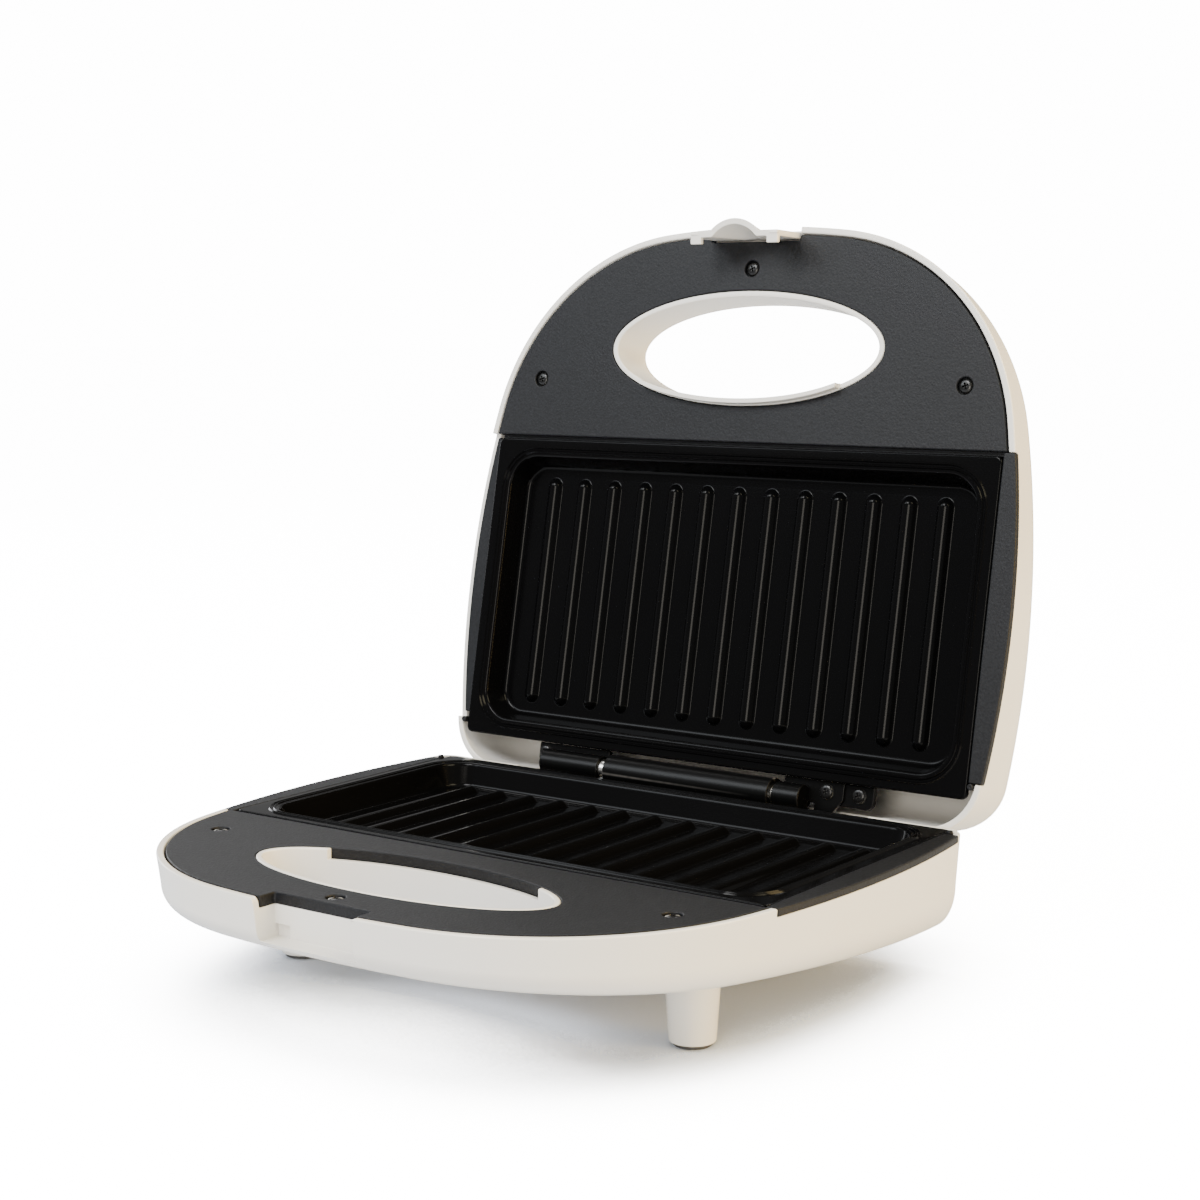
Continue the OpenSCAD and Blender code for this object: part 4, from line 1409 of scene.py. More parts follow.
@dataclass
class LidCasing(Casing):
    """The lid's half shell, with the notch that the latch hangs in."""

    lip_h: float = 3.4
    lip_root: float = 1.0
    lip_steps: int = 48
    run_gap: float = 0.4
    latch_room: float = 9.3
    barrel_back: float = 6.0
    barrel_top: float = 3.6
    window: tuple[float, float, float] = (-76.4, 76.7, 8.6)
    window_deep: float = 3.4
    block_half_w: float = 24.3
    block_back: float = 9.0
    block_top: float = 3.8
    lens_bore: tuple[float, float] = (10.0, 40.0)

    def build(self) -> bpy.types.Object:
        """Makes the lid's shell.

        Returns:
            The piece.
        """
        obj = scratch_object(self._skin())
        out, front, rear = self.clear, FORM.front_y, self.half.rear
        work(obj, self._front_block(self.block_half_w, self.block_back, self.block_top),
             Joining.FUSE)
        work(obj, self._lip(), Joining.FUSE)
        self._rebate(obj)
        x0, x1, deep = self.window
        work(obj, block((x0, rear - out, -out), (x1, rear + self.window_deep, deep)))
        for half_w, back, top, floor in (
            (self.notch_half_w, self.half.notch, -out, self.latch_room),
            (self.notch_half_w - NUDGE, self.barrel_back, self.barrel_top,
             self.latch_room - NUDGE),
        ):
            work(obj, self._across(half_w, front - back, front + 3 * out, top, floor))
        low, high = self.lens_bore
        r = LENS_R + FORM.gap
        for side in (-1, 1):
            place = Matrix.Translation((side * LAMP_X, front - LAMP_BACK, 0))
            work(obj, lathe([(AXIS_R, low), (r, low), (r, high), (AXIS_R, high)], place))
        return self._finish(obj)

    def _lip(self) -> bmesh.types.BMesh:
        """The half ring that reaches into the step of the base's sleeve.

        Returns:
            The closed mesh.
        """
        span = self.lip_half_w - self.run_gap
        outer, inner = FORM.gap + self.run_gap, FORM.gap + FORM.sleeve_t

        def run(inset: float, back: bool) -> Contour:
            """The rear part of an oval, within the lip's ends.

            Args:
                inset: Distance inside the hand hole's outline.
                back: Whether it runs back from right to left.

            Returns:
                The points.
            """
            a, b = FORM.oval_a - inset, FORM.oval_b - inset
            count = self.lip_steps
            xs = [-span + 2 * span * i / count for i in range(count + 1)]
            points = [(x, FORM.oval_y - b * math.sqrt(1 - (x / a) ** 2)) for x in xs]
            return points[::-1] if back else points

        shape = run(outer, False) + run(inner, True)
        return Slab(shape, -self.lip_h, self.lip_root, edge=self.cut_edge).build()


@dataclass
class HandleCover:
    """The charcoal cover of a handle, with its hand hole and cups for its screws."""

    half: Half
    thick: float = 2.2
    skirt_h: float = 3.6
    edge: float = 0.45
    corner_r: float = 0.7
    lip_gap: float = 0.1
    lip_h: tuple[float, float] = (2.4, 3.4)
    lip_root: float = 0.8
    lip_edge: float = 0.1
    notch_half_w: float = 19.3
    cup_r: float = 3.05
    front_screw_back: float = 15.8
    side_screw: Point2 = (91.8, 58.1)

    def screw_places(self) -> list[Point2]:
        """Where the cover's screws stand."""
        front, (x, back) = FORM.front_y, self.side_screw
        return [(0.0, front - self.front_screw_back), (x, front - back), (-x, front - back)]

    def _shape(self) -> Contour:
        """The cover's outline with the notch for the latch.

        Returns:
            The contour, counterclockwise.
        """
        right = FORM.half_outline(self.half.rear, self.half.rear_r, FORM.rim_in)
        back = FORM.front_y - self.half.notch
        kept: Contour = []
        for a, b in zip(right, right[1:]):
            if a[0] <= self.notch_half_w < b[0]:
                t = (self.notch_half_w - a[0]) / (b[0] - a[0])
                kept.append((self.notch_half_w, a[1] + t * (b[1] - a[1])))
            if b[0] > self.notch_half_w and b[1] > FORM.cover_rear:
                kept.append(b)
            if a[1] > FORM.cover_rear >= b[1]:
                t = (a[1] - FORM.cover_rear) / (a[1] - b[1])
                kept.append((a[0] + t * (b[0] - a[0]), FORM.cover_rear))
                break
        half_shape = [(self.notch_half_w, back)] + kept
        whole = [(-x, y) for x, y in half_shape] + half_shape[::-1]
        if area_of(whole) < 0:
            whole.reverse()
        return round_corners(whole, self.corner_r, 3)

    def build(self) -> bpy.types.Object:
        """Makes the cover, with the lip that closes the slit before the plate.

        Returns:
            The piece.
        """
        openings = [Opening(ellipse(FORM.oval_a, FORM.oval_b, FORM.oval_y))]
        openings += [
            Opening(circle(x, y, self.cup_r), COVER_CUP) for x, y in self.screw_places()
        ]
        slab = Slab(
            self._shape(), 0.0, self.skirt_h, openings, self.edge, hollow_from=self.thick
        )
        name = self.half.name
        bm = slab.build()
        reach = rectangle(-FORM.plate_half_w, FORM.plate_front + self.lip_gap,
                          FORM.plate_half_w, FORM.cover_rear + self.lip_root)
        add_solid(bm, Slab(reach, *self.lip_h, edge=self.lip_edge).build())
        return Workshop.piece(
            scratch_object(bm), f"{name}_grip_cover", self.half, COVER,
            "cover_plastic", f"{name}_handle_cover"
        )


@dataclass(frozen=True)
class Strip:
    """One layer of the frame's side: its inset, its ends, its depths and its edge."""

    inset: float
    rear: float
    front: float
    top: float
    bottom: float
    edge: float


@dataclass
class PlateFrame:
    """The frame round a plate: the side strips, the ledge under the plate and the pegs."""

    half: Half
    strip_h: float = 2.3
    strip_rear: float = 13.0
    face: float = 2.2
    back: float = 4.8
    ledge: float = 3.8
    recess_r: float = 12.5
    edge: float = 0.5
    ledge_edge: float = 0.2
    under: float = 3.0
    corner_r: float = 0.5
    side_steps: int = 30
    peg_r: float = 1.1
    peg_in: float = 1.4
    peg_h: float = 0.8
    peg_root: float = 2.5
    peg_edge: float = 0.35

    def _side(self, inset: float, y0: float, y1: float) -> Contour:
        """The area between the plate's side and the body's outline.

        Args:
            inset: Distance inside the body's outline.
            y0: Its rear end.
            y1: Its front end.

        Returns:
            The right side's contour.
        """
        inner = FORM.plate_half_w + FORM.gap
        count = self.side_steps
        ys = [y0 + (y1 - y0) * i / count for i in range(count + 1)]
        outer = [(self._edge_x(y, inset), y) for y in ys]
        return [(inner, y0)] + outer + [(inner, y1)]

    def _edge_x(self, y: float, inset: float) -> float:
        """Half the width of this half's outline.

        Args:
            y: Distance from the hinge axis.
            inset: Distance inside the outline.

        Returns:
            The distance from the middle line.
        """
        right = FORM.half_outline(self.half.rear, self.half.rear_r, inset)
        for a, b in zip(right, right[1:]):
            if a[1] >= y >= b[1] and a[1] > b[1]:
                return a[0] + (a[1] - y) / (a[1] - b[1]) * (b[0] - a[0])
        return right[-1][0]

    def _strips(self) -> list[Strip]:
        """The layers of a side: the one that shows, its rear end and the one beneath.

        Returns:
            The layers, in the order in which they are joined.
        """
        seam, rear, under = FORM.cover_rear - FORM.gap, self.strip_rear, self.under
        return [
            Strip(0.0, rear, seam, top=0.0, bottom=self.strip_h, edge=self.edge),
            Strip(FORM.rim_in, FORM.plate_rear, rear + 4, top=0.03, bottom=under, edge=0.3),
            Strip(FORM.rim_in, rear + 2, FORM.plate_front, top=1.0, bottom=under, edge=0.1),
        ]

    def build(self) -> bpy.types.Object:
        """Makes the frame.

        Returns:
            The piece.
        """
        shape = self._side(FORM.rim_in, FORM.plate_rear, FORM.plate_front)
        shape = [p for p in shape if p[0] > FORM.plate_half_w + FORM.gap + NUDGE]
        outer = shape + [(-x, y) for x, y in shape[::-1]]
        hole = rounded_box(
            FORM.plate_half_w - self.ledge, FORM.plate_half_d - self.ledge, self.recess_r,
            FORM.plate_mid
        )
        top = self.face + 2 * NUDGE
        ledge = Slab(outer, top, self.back, [Opening(hole)], edge=self.ledge_edge)
        obj = scratch_object(ledge.build())
        r, high, low = self.peg_r, -self.peg_h, self.peg_root
        peg = round_corners([(AXIS_R, high), (r, high), (r, low), (AXIS_R, low)], self.peg_edge)
        for side in (-1, 1):
            for layer in self._strips():
                points = self._side(layer.inset, layer.rear, layer.front)
                strip = [(side * x, y) for x, y in points]
                if area_of(strip) < 0:
                    strip.reverse()
                rounded = round_corners(strip, self.corner_r, 3)
                solid = Slab(rounded, layer.top, layer.bottom, edge=layer.edge).build()
                work(obj, solid, Joining.FUSE)
            place = Matrix.Translation((
                side * (FORM.plate_half_w + self.peg_in), self.strip_rear - self.peg_r, 0
            ))
            work(obj, lathe(peg, place, steps=20), Joining.FUSE)
        name = self.half.name
        return Workshop.piece(
            obj, f"{name}_trim_frame", self.half, COVER, "cover_plastic",
            f"{name}_plate_frame"
        )


@dataclass
class GrillPlate:
    """A cast plate: a flange with fine beads, a deep recess and rounded ribs."""

    half: Half
    flange_t: float = 2.2
    flange_side: float = 7.0
    flange_end: float = 6.5
    recess_h: float = 8.8
    recess_r: float = 12.5
    recess_slope: float = 3.0
    floor_t: float = 2.4
    rib_pitch: float = 14.2
    rib_r: float = 3.0
    rib_h: float = 2.6
    rib_end_gap: float = 6.6
    bead_h: float = 0.5
    bead_at: tuple[float, ...] = (1.5, 3.0)
    edge_r: float = 2.5
    post_x: float = 40.0
    post_y: float = 15.0
    post_r: float = 4.0
    post_in: float = 0.6
    shield_z: float = 17.6
    rim_r: float = 0.6
    back_edge: float = 0.2
    back_out: float = 1.8
    corner_steps: int = 10
    rib_steps: int = 12
    floor_bend: Profile = ((2.0, 0.0), (1.2, 0.05), (0.55, 0.3), (0.15, 0.75), (-0.1, 1.3))
    rim_bend: Profile = ((-0.75, 1.3), (-0.6, 0.75), (-0.25, 0.22), (0.25, 0.0))
    bead: Profile = (
        (-0.5, 0.0), (-0.3, 0.5), (-0.1, 0.95), (0.1, 0.95), (0.3, 0.5), (0.5, 0.0)
    )
    rib_foot: Profile = ((0.75, 0.0), (0.3, 0.1), (0.02, 0.38))
    rib_turns: tuple[float, ...] = (26, 38, 50, 62, 74, 84)

    def _recess(self, out: float) -> Contour:
        """The recess's outline.

        Args:
            out: How far it is grown.

        Returns:
            The contour.
        """
        return rounded_box(
            FORM.plate_half_w - self.flange_side + out,
            FORM.plate_half_d - self.flange_end + out,
            self.recess_r + out, FORM.plate_mid, self.corner_steps,
        )

    def _flange(self, inset: float) -> Contour:
        """The flange's outline.

        Args:
            inset: How far it is drawn in.

        Returns:
            The contour.
        """
        return rounded_box(
            FORM.plate_half_w - inset, FORM.plate_half_d - inset, self.edge_r,
            FORM.plate_mid, self.corner_steps,
        )

    def _rings(self) -> tuple[list[tuple[Contour, float]], list[tuple[Contour, float]]]:
        """The contours of the plate's two sides, with their depths.

        Returns:
            The cooking side from its floor out, and the back from its flange in.
        """
        slope, deep, edge = self.recess_slope, self.recess_h, self.back_edge
        front = [(self._recess(-slope - inside), deep - up) for inside, up in self.floor_bend]
        front += [(self._recess(out), z) for out, z in self.rim_bend]
        for at in self.bead_at:
            front += [(self._recess(at + out), -self.bead_h * rise) for out, rise in self.bead]
        front += [(self._flange(i), z) for i, z in fillet(self.rim_r, 0.0)]
        back = [
            (self._flange(0.0), self.flange_t - edge),
            (self._flange(edge), self.flange_t),
            (self._recess(self.back_out), self.flange_t),
            (self._recess(-slope + self.floor_t), deep + self.floor_t),
        ]
        return front, back

    def _rib(self, bm: bmesh.types.BMesh, x: float) -> Ring:
        """Adds a rib to the plate's mesh.

        Args:
            bm: The mesh.
            x: Where the rib is.

        Returns:
            The ring that it stands on.
        """
        centre = self.recess_h + self.rib_r - self.rib_h
        half_len = FORM.plate_half_d - self.flange_end - self.recess_slope - self.rib_end_gap
        half_len -= self.rib_r / 2
        levels = [(self.rib_r + out, self.recess_h - up) for out, up in self.rib_foot]
        for a in self.rib_turns:
            turn = math.radians(a)
            levels.append((self.rib_r * math.cos(turn), centre - self.rib_r * math.sin(turn)))
        rings = []
        for r, z in levels:
            points = arc(x, FORM.plate_mid + half_len, r, 0, 180, self.rib_steps)
            points += arc(x, FORM.plate_mid - half_len, r, 180, 360, self.rib_steps)
            rings.append(ring(bm, [(*p, z) for p in points]))
        for a, b in zip(rings, rings[1:]):
            band(bm, a, b)
        bm.faces.new(rings[-1])
        return rings[0]

    def build(self) -> bpy.types.Object:
        """Makes the plate.

        Returns:
            The piece.
        """
        bm = bmesh.new()
        front, back = self._rings()
        rings = [ring(bm, [(*p, z) for p in points]) for points, z in front + back]
        for a, b in zip(rings, rings[1:]):
            band(bm, a, b)
        room = FORM.plate_half_w - self.flange_side - self.recess_slope
        count = int((room - self.rib_r - self.rib_end_gap) // self.rib_pitch)
        feet = [self._rib(bm, i * self.rib_pitch) for i in range(-count, count + 1)]
        lid_over(bm, rings[0], feet)
        lid_over(bm, rings[-1])
        bmesh.ops.recalc_face_normals(bm, faces=bm.faces)
        obj = scratch_object(bm)
        top, end, r = self.recess_h + self.floor_t - self.post_in, self.shield_z, self.post_r
        post = [(AXIS_R, top), (r, top), (r, end), (AXIS_R, end)]
        for sx in (-1, 1):
            for sy in (-1, 1):
                y = FORM.plate_mid + sy * self.post_y
                place = Matrix.Translation((sx * self.post_x, y, 0))
                work(obj, lathe(post, place, steps=24), Joining.FUSE)
        name = self.half.name
        return Workshop.piece(
            obj, f"{name}_griddle", self.half, PLATE, "nonstick_plate", f"{name}_grill_plate"
        )


# --------------------------------------------------------------------------------- hardware


@dataclass
class Screw:
    """A pan head screw with a cross recess, its head's underside at the origin along z."""

    length: float = 10.0
    head_r: float = 2.85
    head_h: float = 1.2
    shank_r: float = 1.5
    slot_w: float = 0.62
    slot_reach: float = 1.55
    slot_floor: float = 0.4
    slot_taper: float = 0.55
    slot_turns: tuple[float, float] = (20, 110)
    dome: Profile = ((0.0, 1.0), (0.45, 0.98), (0.68, 0.9), (0.84, 0.72), (0.95, 0.42))
    brim: Profile = ((1.0, -0.12), (0.98, 0.0))
    tip: Point2 = (0.5, 0.6)

    def build(self) -> bmesh.types.BMesh:
        """Makes one screw.

        Returns:
            The closed mesh.
        """
        r, h, shank, end = self.head_r, self.head_h, self.shank_r, self.length
        narrow, taper = self.tip
        profile = [(wide * r, -h * high) for wide, high in self.dome]
        profile += [(wide * r, z) for wide, z in self.brim]
        profile += [(shank, 0.0), (shank, end - taper), (shank - narrow, end), (0.0, end)]
        obj = scratch_object(lathe(profile, Matrix.Identity(4), steps=36))
        reach, half_w = self.slot_reach, self.slot_w / 2
        for turn in self.slot_turns:
            slot = block((-reach, -half_w, -h - 1), (reach, half_w, -self.slot_floor))
            for v in slot.verts:
                if v.co.z > -h:
                    v.co.x *= self.slot_taper
            slot.transform(Matrix.Rotation(math.radians(turn), 4, "Z"))
            work(obj, slot)
        return taken(obj)

    def group(self, places: Sequence[Matrix]) -> bpy.types.Object:
        """Makes several of these screws in one object.

        Args:
            places: Where they stand.

        Returns:
            The object.
        """
        one = self.build()
        made = []
        for place in places:
            screw = one.copy()
            screw.transform(place)
            made.append(screw)
        one.free()
        return gathered(made)


TUBE_STEPS = 56


def along_x(y: float, z: float) -> Matrix:
    """A place whose axis runs across the toaster at y and z."""
    return Matrix(((0, 0, 1, 0), (1, 0, 0, y), (0, 1, 0, z), (0, 0, 0, 1)))


def tube(x0: float, x1: float, r: float, bore: float, place: Matrix,
         edge: float = 0.4) -> bmesh.types.BMesh:
    """A tube along the axis of a place, with rounded rims.

    Args:
        x0: Its first end.
        x1: Its last end.
        r: Its outer radius.
        bore: Its inner radius.
        place: Where its axis runs.
        edge: Radius of its rims.

    Returns:
        The mesh.
    """
    section = round_corners([(bore, x0), (r, x0), (r, x1), (bore, x1)], edge, 3)
    return lathe(section, place, TUBE_STEPS, closed=True)


@dataclass
class Hinge:
    """The rear hinge: a sleeve on the base's leaf, two brackets on the lid and the pin."""

    base: Half
    lid: Half
    rise: float = 1.4
    lid_rise: float = 0.6
    pin_r: float = 3.9
    fit: float = 0.05
    sleeve_r: float = 6.0
    knuckle_r: float = 5.0
    sleeve: tuple[float, float] = (-37.0, 35.0)
    left: tuple[float, float] = (-67.4, -40.4)
    right: tuple[float, float] = (36.2, 47.2)
    leaf_t: float = 2.0
    leaf_h: float = 20.0
    leaf_half_w: float = 62.0
    leaf_y: float = 3.4
    bracket_z: float = 2.6
    bracket_rear: float = 1.2
    bracket_end: float = 7.0
    tab_w: float = 6.3
    right_tab_w: float = 11.5
    toe_w: float = 11.4
    toe_gap: float = 2.4
    toe_y: float = 6.0
    tab_r: float = 3.0
    tab_step: float = 1.0
    screw_y: float = 3.4
    stop_z: float = 5.5
    stop_reach: float = 4.6
    run_gap: float = 0.4
    end_wall: float = 0.8
    inner: float = 0.3
    leaf_edge: float = 0.25
    plate_corner: float = 0.5
    plate_edge: float = 0.35
    plate_back: float = 0.2
    tab_turns: tuple[int, ...] = tuple(range(0, 91, 15))
    leaf_screws: tuple[float, ...] = (-52, -13, 13, 52)
    leaf_screw_z: float = 13.0
    leaf_screw_len: float = 7.5

    def build(self) -> None:
        """Makes the hinge's pieces and their screws."""
        self._leaf()
        self._left_bracket()
        self._right_bracket()
        self._pin()
        self._screws()

    def _leaf(self) -> None:
        """The base's sleeve on its leaf, with the stop for the lid's toe."""
        x0, x1 = self.sleeve
        obj = scratch_object(tube(x0, x1, self.sleeve_r, self.pin_r + self.fit,
                                  along_x(0, -self.rise)))
        y0, y1 = self.leaf_y, self.leaf_y + self.leaf_t
        bottom = self.leaf_h - self.rise
        toe = self.right[1] + self.toe_gap
        for low, high in (
            ((x0 + self.inner, y0, -self.rise + 1), (x1 - self.inner, y1, bottom)),
            ((-self.leaf_half_w, y0 + NUDGE, self.stop_z),
             (self.leaf_half_w, y1 - NUDGE, bottom - NUDGE)),
            ((toe + self.run_gap, -self.stop_reach, self.stop_z + NUDGE),
             (toe + self.toe_w - self.run_gap, y1 - 2 * NUDGE, self.stop_z + self.leaf_t)),
        ):
            work(obj, block(low, high, self.leaf_edge), Joining.FUSE)
        Workshop.piece(obj, "base_hinge_sleeve", self.base, HINGE, "hinge_metal",
                       "base_hinge_leaf")

    def _tab(self, x: float, side: float) -> Contour:
        """The round end of a bracket's tab.

        Args:
            x: Where it ends.
            side: Which way it points, -1 or 1.

        Returns:
            The points of the end, from the front to the rear.
        """
        points = [(x, self.bracket_end)]
        for a in self.tab_turns:
            t = math.radians(a)
            points.append((x - side * self.tab_r * (1 - math.cos(t)),
                           self.tab_r - self.bracket_rear - self.tab_r * math.sin(t)))
        return points

    def _plate(self, points: Contour, step: float = 0.0) -> bmesh.types.BMesh:
        """A stamped bracket plate.

        Args:
            points: Its outline.
            step: How far it is set back from the brackets' plane.

        Returns:
            The solid.
        """
        if area_of(points) < 0:
            points = points[::-1]
        z = self.bracket_z + step
        return Slab(round_corners(points, self.plate_corner, 3), z, z + self.leaf_t,
                    edge=self.plate_edge, back_edge=self.plate_back).build()

    def _left_bracket(self) -> None:
        """The lid's left knuckle on its bracket."""
        x0, x1 = self.left
        obj = scratch_object(tube(x0, x1, self.knuckle_r, self.pin_r + self.fit,
                                  along_x(0, -self.lid_rise)))
        points = self._tab(x0 - self.tab_w, -1)
        seam = x1 - self.inner
        points += [(seam, -self.bracket_rear), (seam, self.bracket_end)]
        work(obj, self._plate(points), Joining.FUSE)
        Workshop.piece(obj, "lid_hinge_knuckle_left", self.lid, HINGE, "hinge_metal",
                       "lid_hinge_left")

    def _right_bracket(self) -> None:
        """The lid's right knuckle on its bracket, with the toe that meets the stop."""
        x0, x1 = self.right
        toe0 = x1 + self.toe_gap
        toe1 = toe0 + self.toe_w
        r, bore, end = self.knuckle_r, self.pin_r + self.fit, x1 - self.end_wall
        blind = round_corners([
            (0.0, end), (bore, end), (bore, x0), (r, x0), (r, x1), (0.0, x1)
        ], 0.5, 3)
        obj = scratch_object(lathe(blind, along_x(0, -self.lid_rise), TUBE_STEPS))
        rear, end, seam = -self.bracket_rear, self.bracket_end, x0 + self.inner
        work(obj, self._plate([
            (seam, end), (seam, rear), (toe0, rear), (toe0, -self.toe_y),
            (toe0 + self.toe_w / 2, -self.toe_y), (toe1, self.bracket_rear), (toe1, end),
        ]), Joining.FUSE)
        tab = self._tab(toe1 + self.right_tab_w, 1)
        lap = toe1 - 2 * self.tab_step
        tab += [(lap, rear), (lap, end - 2 * NUDGE)]
        work(obj, self._plate(tab, self.tab_step), Joining.FUSE)
        Workshop.piece(obj, "lid_hinge_knuckle_right", self.lid, HINGE, "hinge_metal",
                       "lid_hinge_right")

    def _pin(self) -> None:
        """The hinge pin, with chamfered ends."""
        x0, x1 = self.left[0] + self.run_gap, self.right[1] - self.end_wall - self.run_gap
        section = round_corners([(0.0, x0), (self.pin_r, x0), (self.pin_r, x1), (0.0, x1)], 0.5)
        pin = lathe(section, along_x(0, -self.lid_rise), TUBE_STEPS)
        Workshop.piece(scratch_object(pin), "steel_hinge_pin", self.lid, STEEL, "pin_steel",
                       "hinge_pin")

    def _screws(self) -> None:
        """The screws of the leaf and of the brackets."""
        toe0 = self.right[1] + self.toe_gap
        toe1 = toe0 + self.toe_w
        spots = [
            (self.left[0] - self.tab_w / 2, 0.0),
            (toe0 + self.toe_w / 2 - self.tab_step, 0.0),
            (toe1 + self.right_tab_w / 2, self.tab_step),
        ]
        places = [Matrix.Translation((x, self.screw_y, self.bracket_z + step))
                  for x, step in spots]
        Workshop.piece(Screw().group(places), "lid_hinge_fasteners", self.lid, SCREW,
                       "black_screw", "lid_hinge_screws")
        turned = Matrix.Rotation(-math.pi / 2, 4, "X")
        places = [Matrix.Translation((x, self.leaf_y, self.leaf_screw_z)) @ turned
                  for x in self.leaf_screws]
        Workshop.piece(Screw(self.leaf_screw_len).group(places), "base_hinge_fasteners",
                       self.base, ZINC, "zinc_screw", "base_hinge_screws")


@dataclass
class Latch:
    """The latch at the lid's front: a plate on a barrel, with a finger arch and two hooks."""

    lid: Half
    pivot_y: float = 203.2
    pivot_z: float = 6.5
    half_w: float = 18.7
    length: float = 21.66
    inner: float = 0.8
    thick: float = 2.2
    barrel_r: float = 2.4
    barrel_edge: float = 0.3
    bore_r: float = 1.25
    bore_end: float = 30.0
    edge: float = 0.32
    hook_in: float = 2.4
    hook_t: float = 1.8
    hook_w: float = 4.6
    arch_r: float = 12.2
    arch_h: float = 4.6
    arch_blend: float = 0.5
    columns: int = 56
    rows: int = 22
    lean: float = -8.8

    def _plate(self) -> bmesh.types.BMesh:
        """The plate with its arch, which fades towards the barrel.

        Returns:
            The closed mesh.
        """
        columns, rows = self.columns, self.rows
        top = self.barrel_r + 1.0
        slope = self.arch_h / (self.length - top)

        def bulge(x: float, drop: float, grow: float, face: float) -> float:
            """Distance of a face of the plate from the pivot's plane.

            Args:
                x: Where on the plate, across.
                drop: How far below the pivot.
                grow: How far the face lies outside the arch's inner one.
                face: Where the face is beside the arch.

            Returns:
                The distance.
            """
            centre = self.arch_h - self.inner - self.arch_r
            r = self.arch_r + grow - slope * (self.length - drop)
            level = centre + math.sqrt(r * r - x * x) if abs(x) < r else -math.inf
            k = self.arch_blend
            high, low = max(level, face), min(level, face)
            return high + max(k - (high - low), 0.0) ** 2 / (4 * k)

        bm = bmesh.new()
        sheets = []
        for grow, face in ((0.0, -self.inner), (self.thick, self.thick - self.inner)):
            sheet = []
            for j in range(rows + 1):
                drop = self.length * j / rows
                row = []
                for i in range(columns + 1):
                    x = self.half_w * (2 * i / columns - 1)
                    y = bulge(x, drop, grow, face) if drop > top else face
                    row.append(bm.verts.new((x, y, -drop)))
                sheet.append(row)
            sheets.append(sheet)
        for sheet in sheets:
            for j in range(rows):
                for i in range(columns):
                    bm.faces.new((sheet[j][i], sheet[j][i + 1], sheet[j + 1][i + 1],
                                  sheet[j + 1][i]))
        a, b = sheets
        border = [(0, i) for i in range(columns)] + [(j, columns) for j in range(rows)]
        border += [(rows, i) for i in range(columns, 0, -1)] + [(j, 0) for j in range(rows, 0, -1)]
        for (j0, i0), (j1, i1) in zip(border, border[1:] + border[:1]):
            bm.faces.new((a[j0][i0], a[j1][i1], b[j1][i1], b[j0][i0]))
        bmesh.ops.recalc_face_normals(bm, faces=bm.faces)
        return bm

    def build(self) -> bpy.types.Object:
        """Makes the latch and hangs it on its pin.

        Returns:
            The piece.
        """
        obj = scratch_object(self._plate())
        across, end, r = along_x(0, 0), self.half_w + NUDGE, self.barrel_r
        barrel = [(0.0, -end), (r, -end), (r, end), (0.0, end)]
        barrel = round_corners(barrel, self.barrel_edge)
        work(obj, lathe(barrel, across, steps=40), Joining.FUSE)
        for side in (-1, 1):
            x, wide = side * (self.half_w - self.hook_w / 2), self.hook_w / 2 + 2 * NUDGE
            work(obj, block(
                (x - wide, -self.inner - self.hook_in, -self.length - NUDGE),
                (x + wide, -self.inner + 1, -self.length + self.hook_t),
            ), Joining.FUSE)
        end, r = self.bore_end, self.bore_r
        work(obj, lathe([(0.0, -end), (r, -end), (r, end), (0.0, end)], across, steps=24))
        soften(obj, self.edge, angle=48, segments=3)
        hang = Matrix.Translation((0, self.pivot_y, self.pivot_z))
        obj.data.transform(hang @ Matrix.Rotation(math.radians(self.lean), 4, "X"))
        return Workshop.piece(obj, "latch_lever", self.lid, CASING, "shell_plastic", "latch",
                              body="latch")


@dataclass
class Foot:
    """The cone feet under the base."""

    base: Half
    places: tuple[Point2, ...] = ((80.8, 121.2), (-80.8, 121.2), (64.0, 18.0), (-64.0, 18.0))
    top_r: float = 8.9
    end_r: float = 7.3
    seat_h: float = 48.2
    pad_out: float = 1.4
    pad_r: float = 6.6
    pad_seat: float = 2.0
    pad_chamfer: float = 0.25
    rim_r: float = 0.4
    sink: float = 0.5

    def build(self) -> bpy.types.Object:
        """Makes the four feet in one piece.

        Returns:
            The piece.
        """
        obj = gathered([self._cone(x, y) for x, y in self.places])
        return Workshop.piece(obj, "base_foot_cones", self.base, CASING, "shell_plastic",
                              "base_feet")

    def _cone(self, x: float, y: float) -> bmesh.types.BMesh:
        """One foot, with its top cut along the base's slope.

        Args:
            x: Its middle across.
            y: Its middle's distance from the hinge axis.

        Returns:
            The closed mesh.
        """
        end = self.seat_h - self.pad_out
        start = FORM.depth(y + self.top_r) - self.sink
        seat, r, chamfer = end - self.pad_seat, self.pad_r, self.pad_chamfer
        rim = fillet(self.rim_r, 0.0, 4)
        profile = [(0.0, start), (self.top_r, start)]
        profile += [(self.end_r - i, end - z) for i, z in reversed(rim)]
        profile += [(r + chamfer, end), (r, end - chamfer), (r, seat), (0.0, seat)]
        bm = lathe(profile, Matrix.Translation((x, y, 0)), TUBE_STEPS)
        for v in bm.verts:
            if v.co.z < start + NUDGE:
                radius = min(math.hypot(v.co.x - x, v.co.y - y) / self.top_r, 1.0)
                v.co.z = FORM.depth(v.co.y) - self.sink if radius > 0 else start
        return bm


@dataclass(frozen=True)
class SignalLamp:
    """A lamp of the lid: what it shows, its side of the middle line and its lens."""

    shows: str
    side: int
    tint: Colour
    slot: str


LAMPS = (
    SignalLamp("power", -1, (0.42, 0.01, 0.008), "red_lens"),
    SignalLamp("ready", 1, (0.01, 0.2, 0.03), "green_lens"),
)


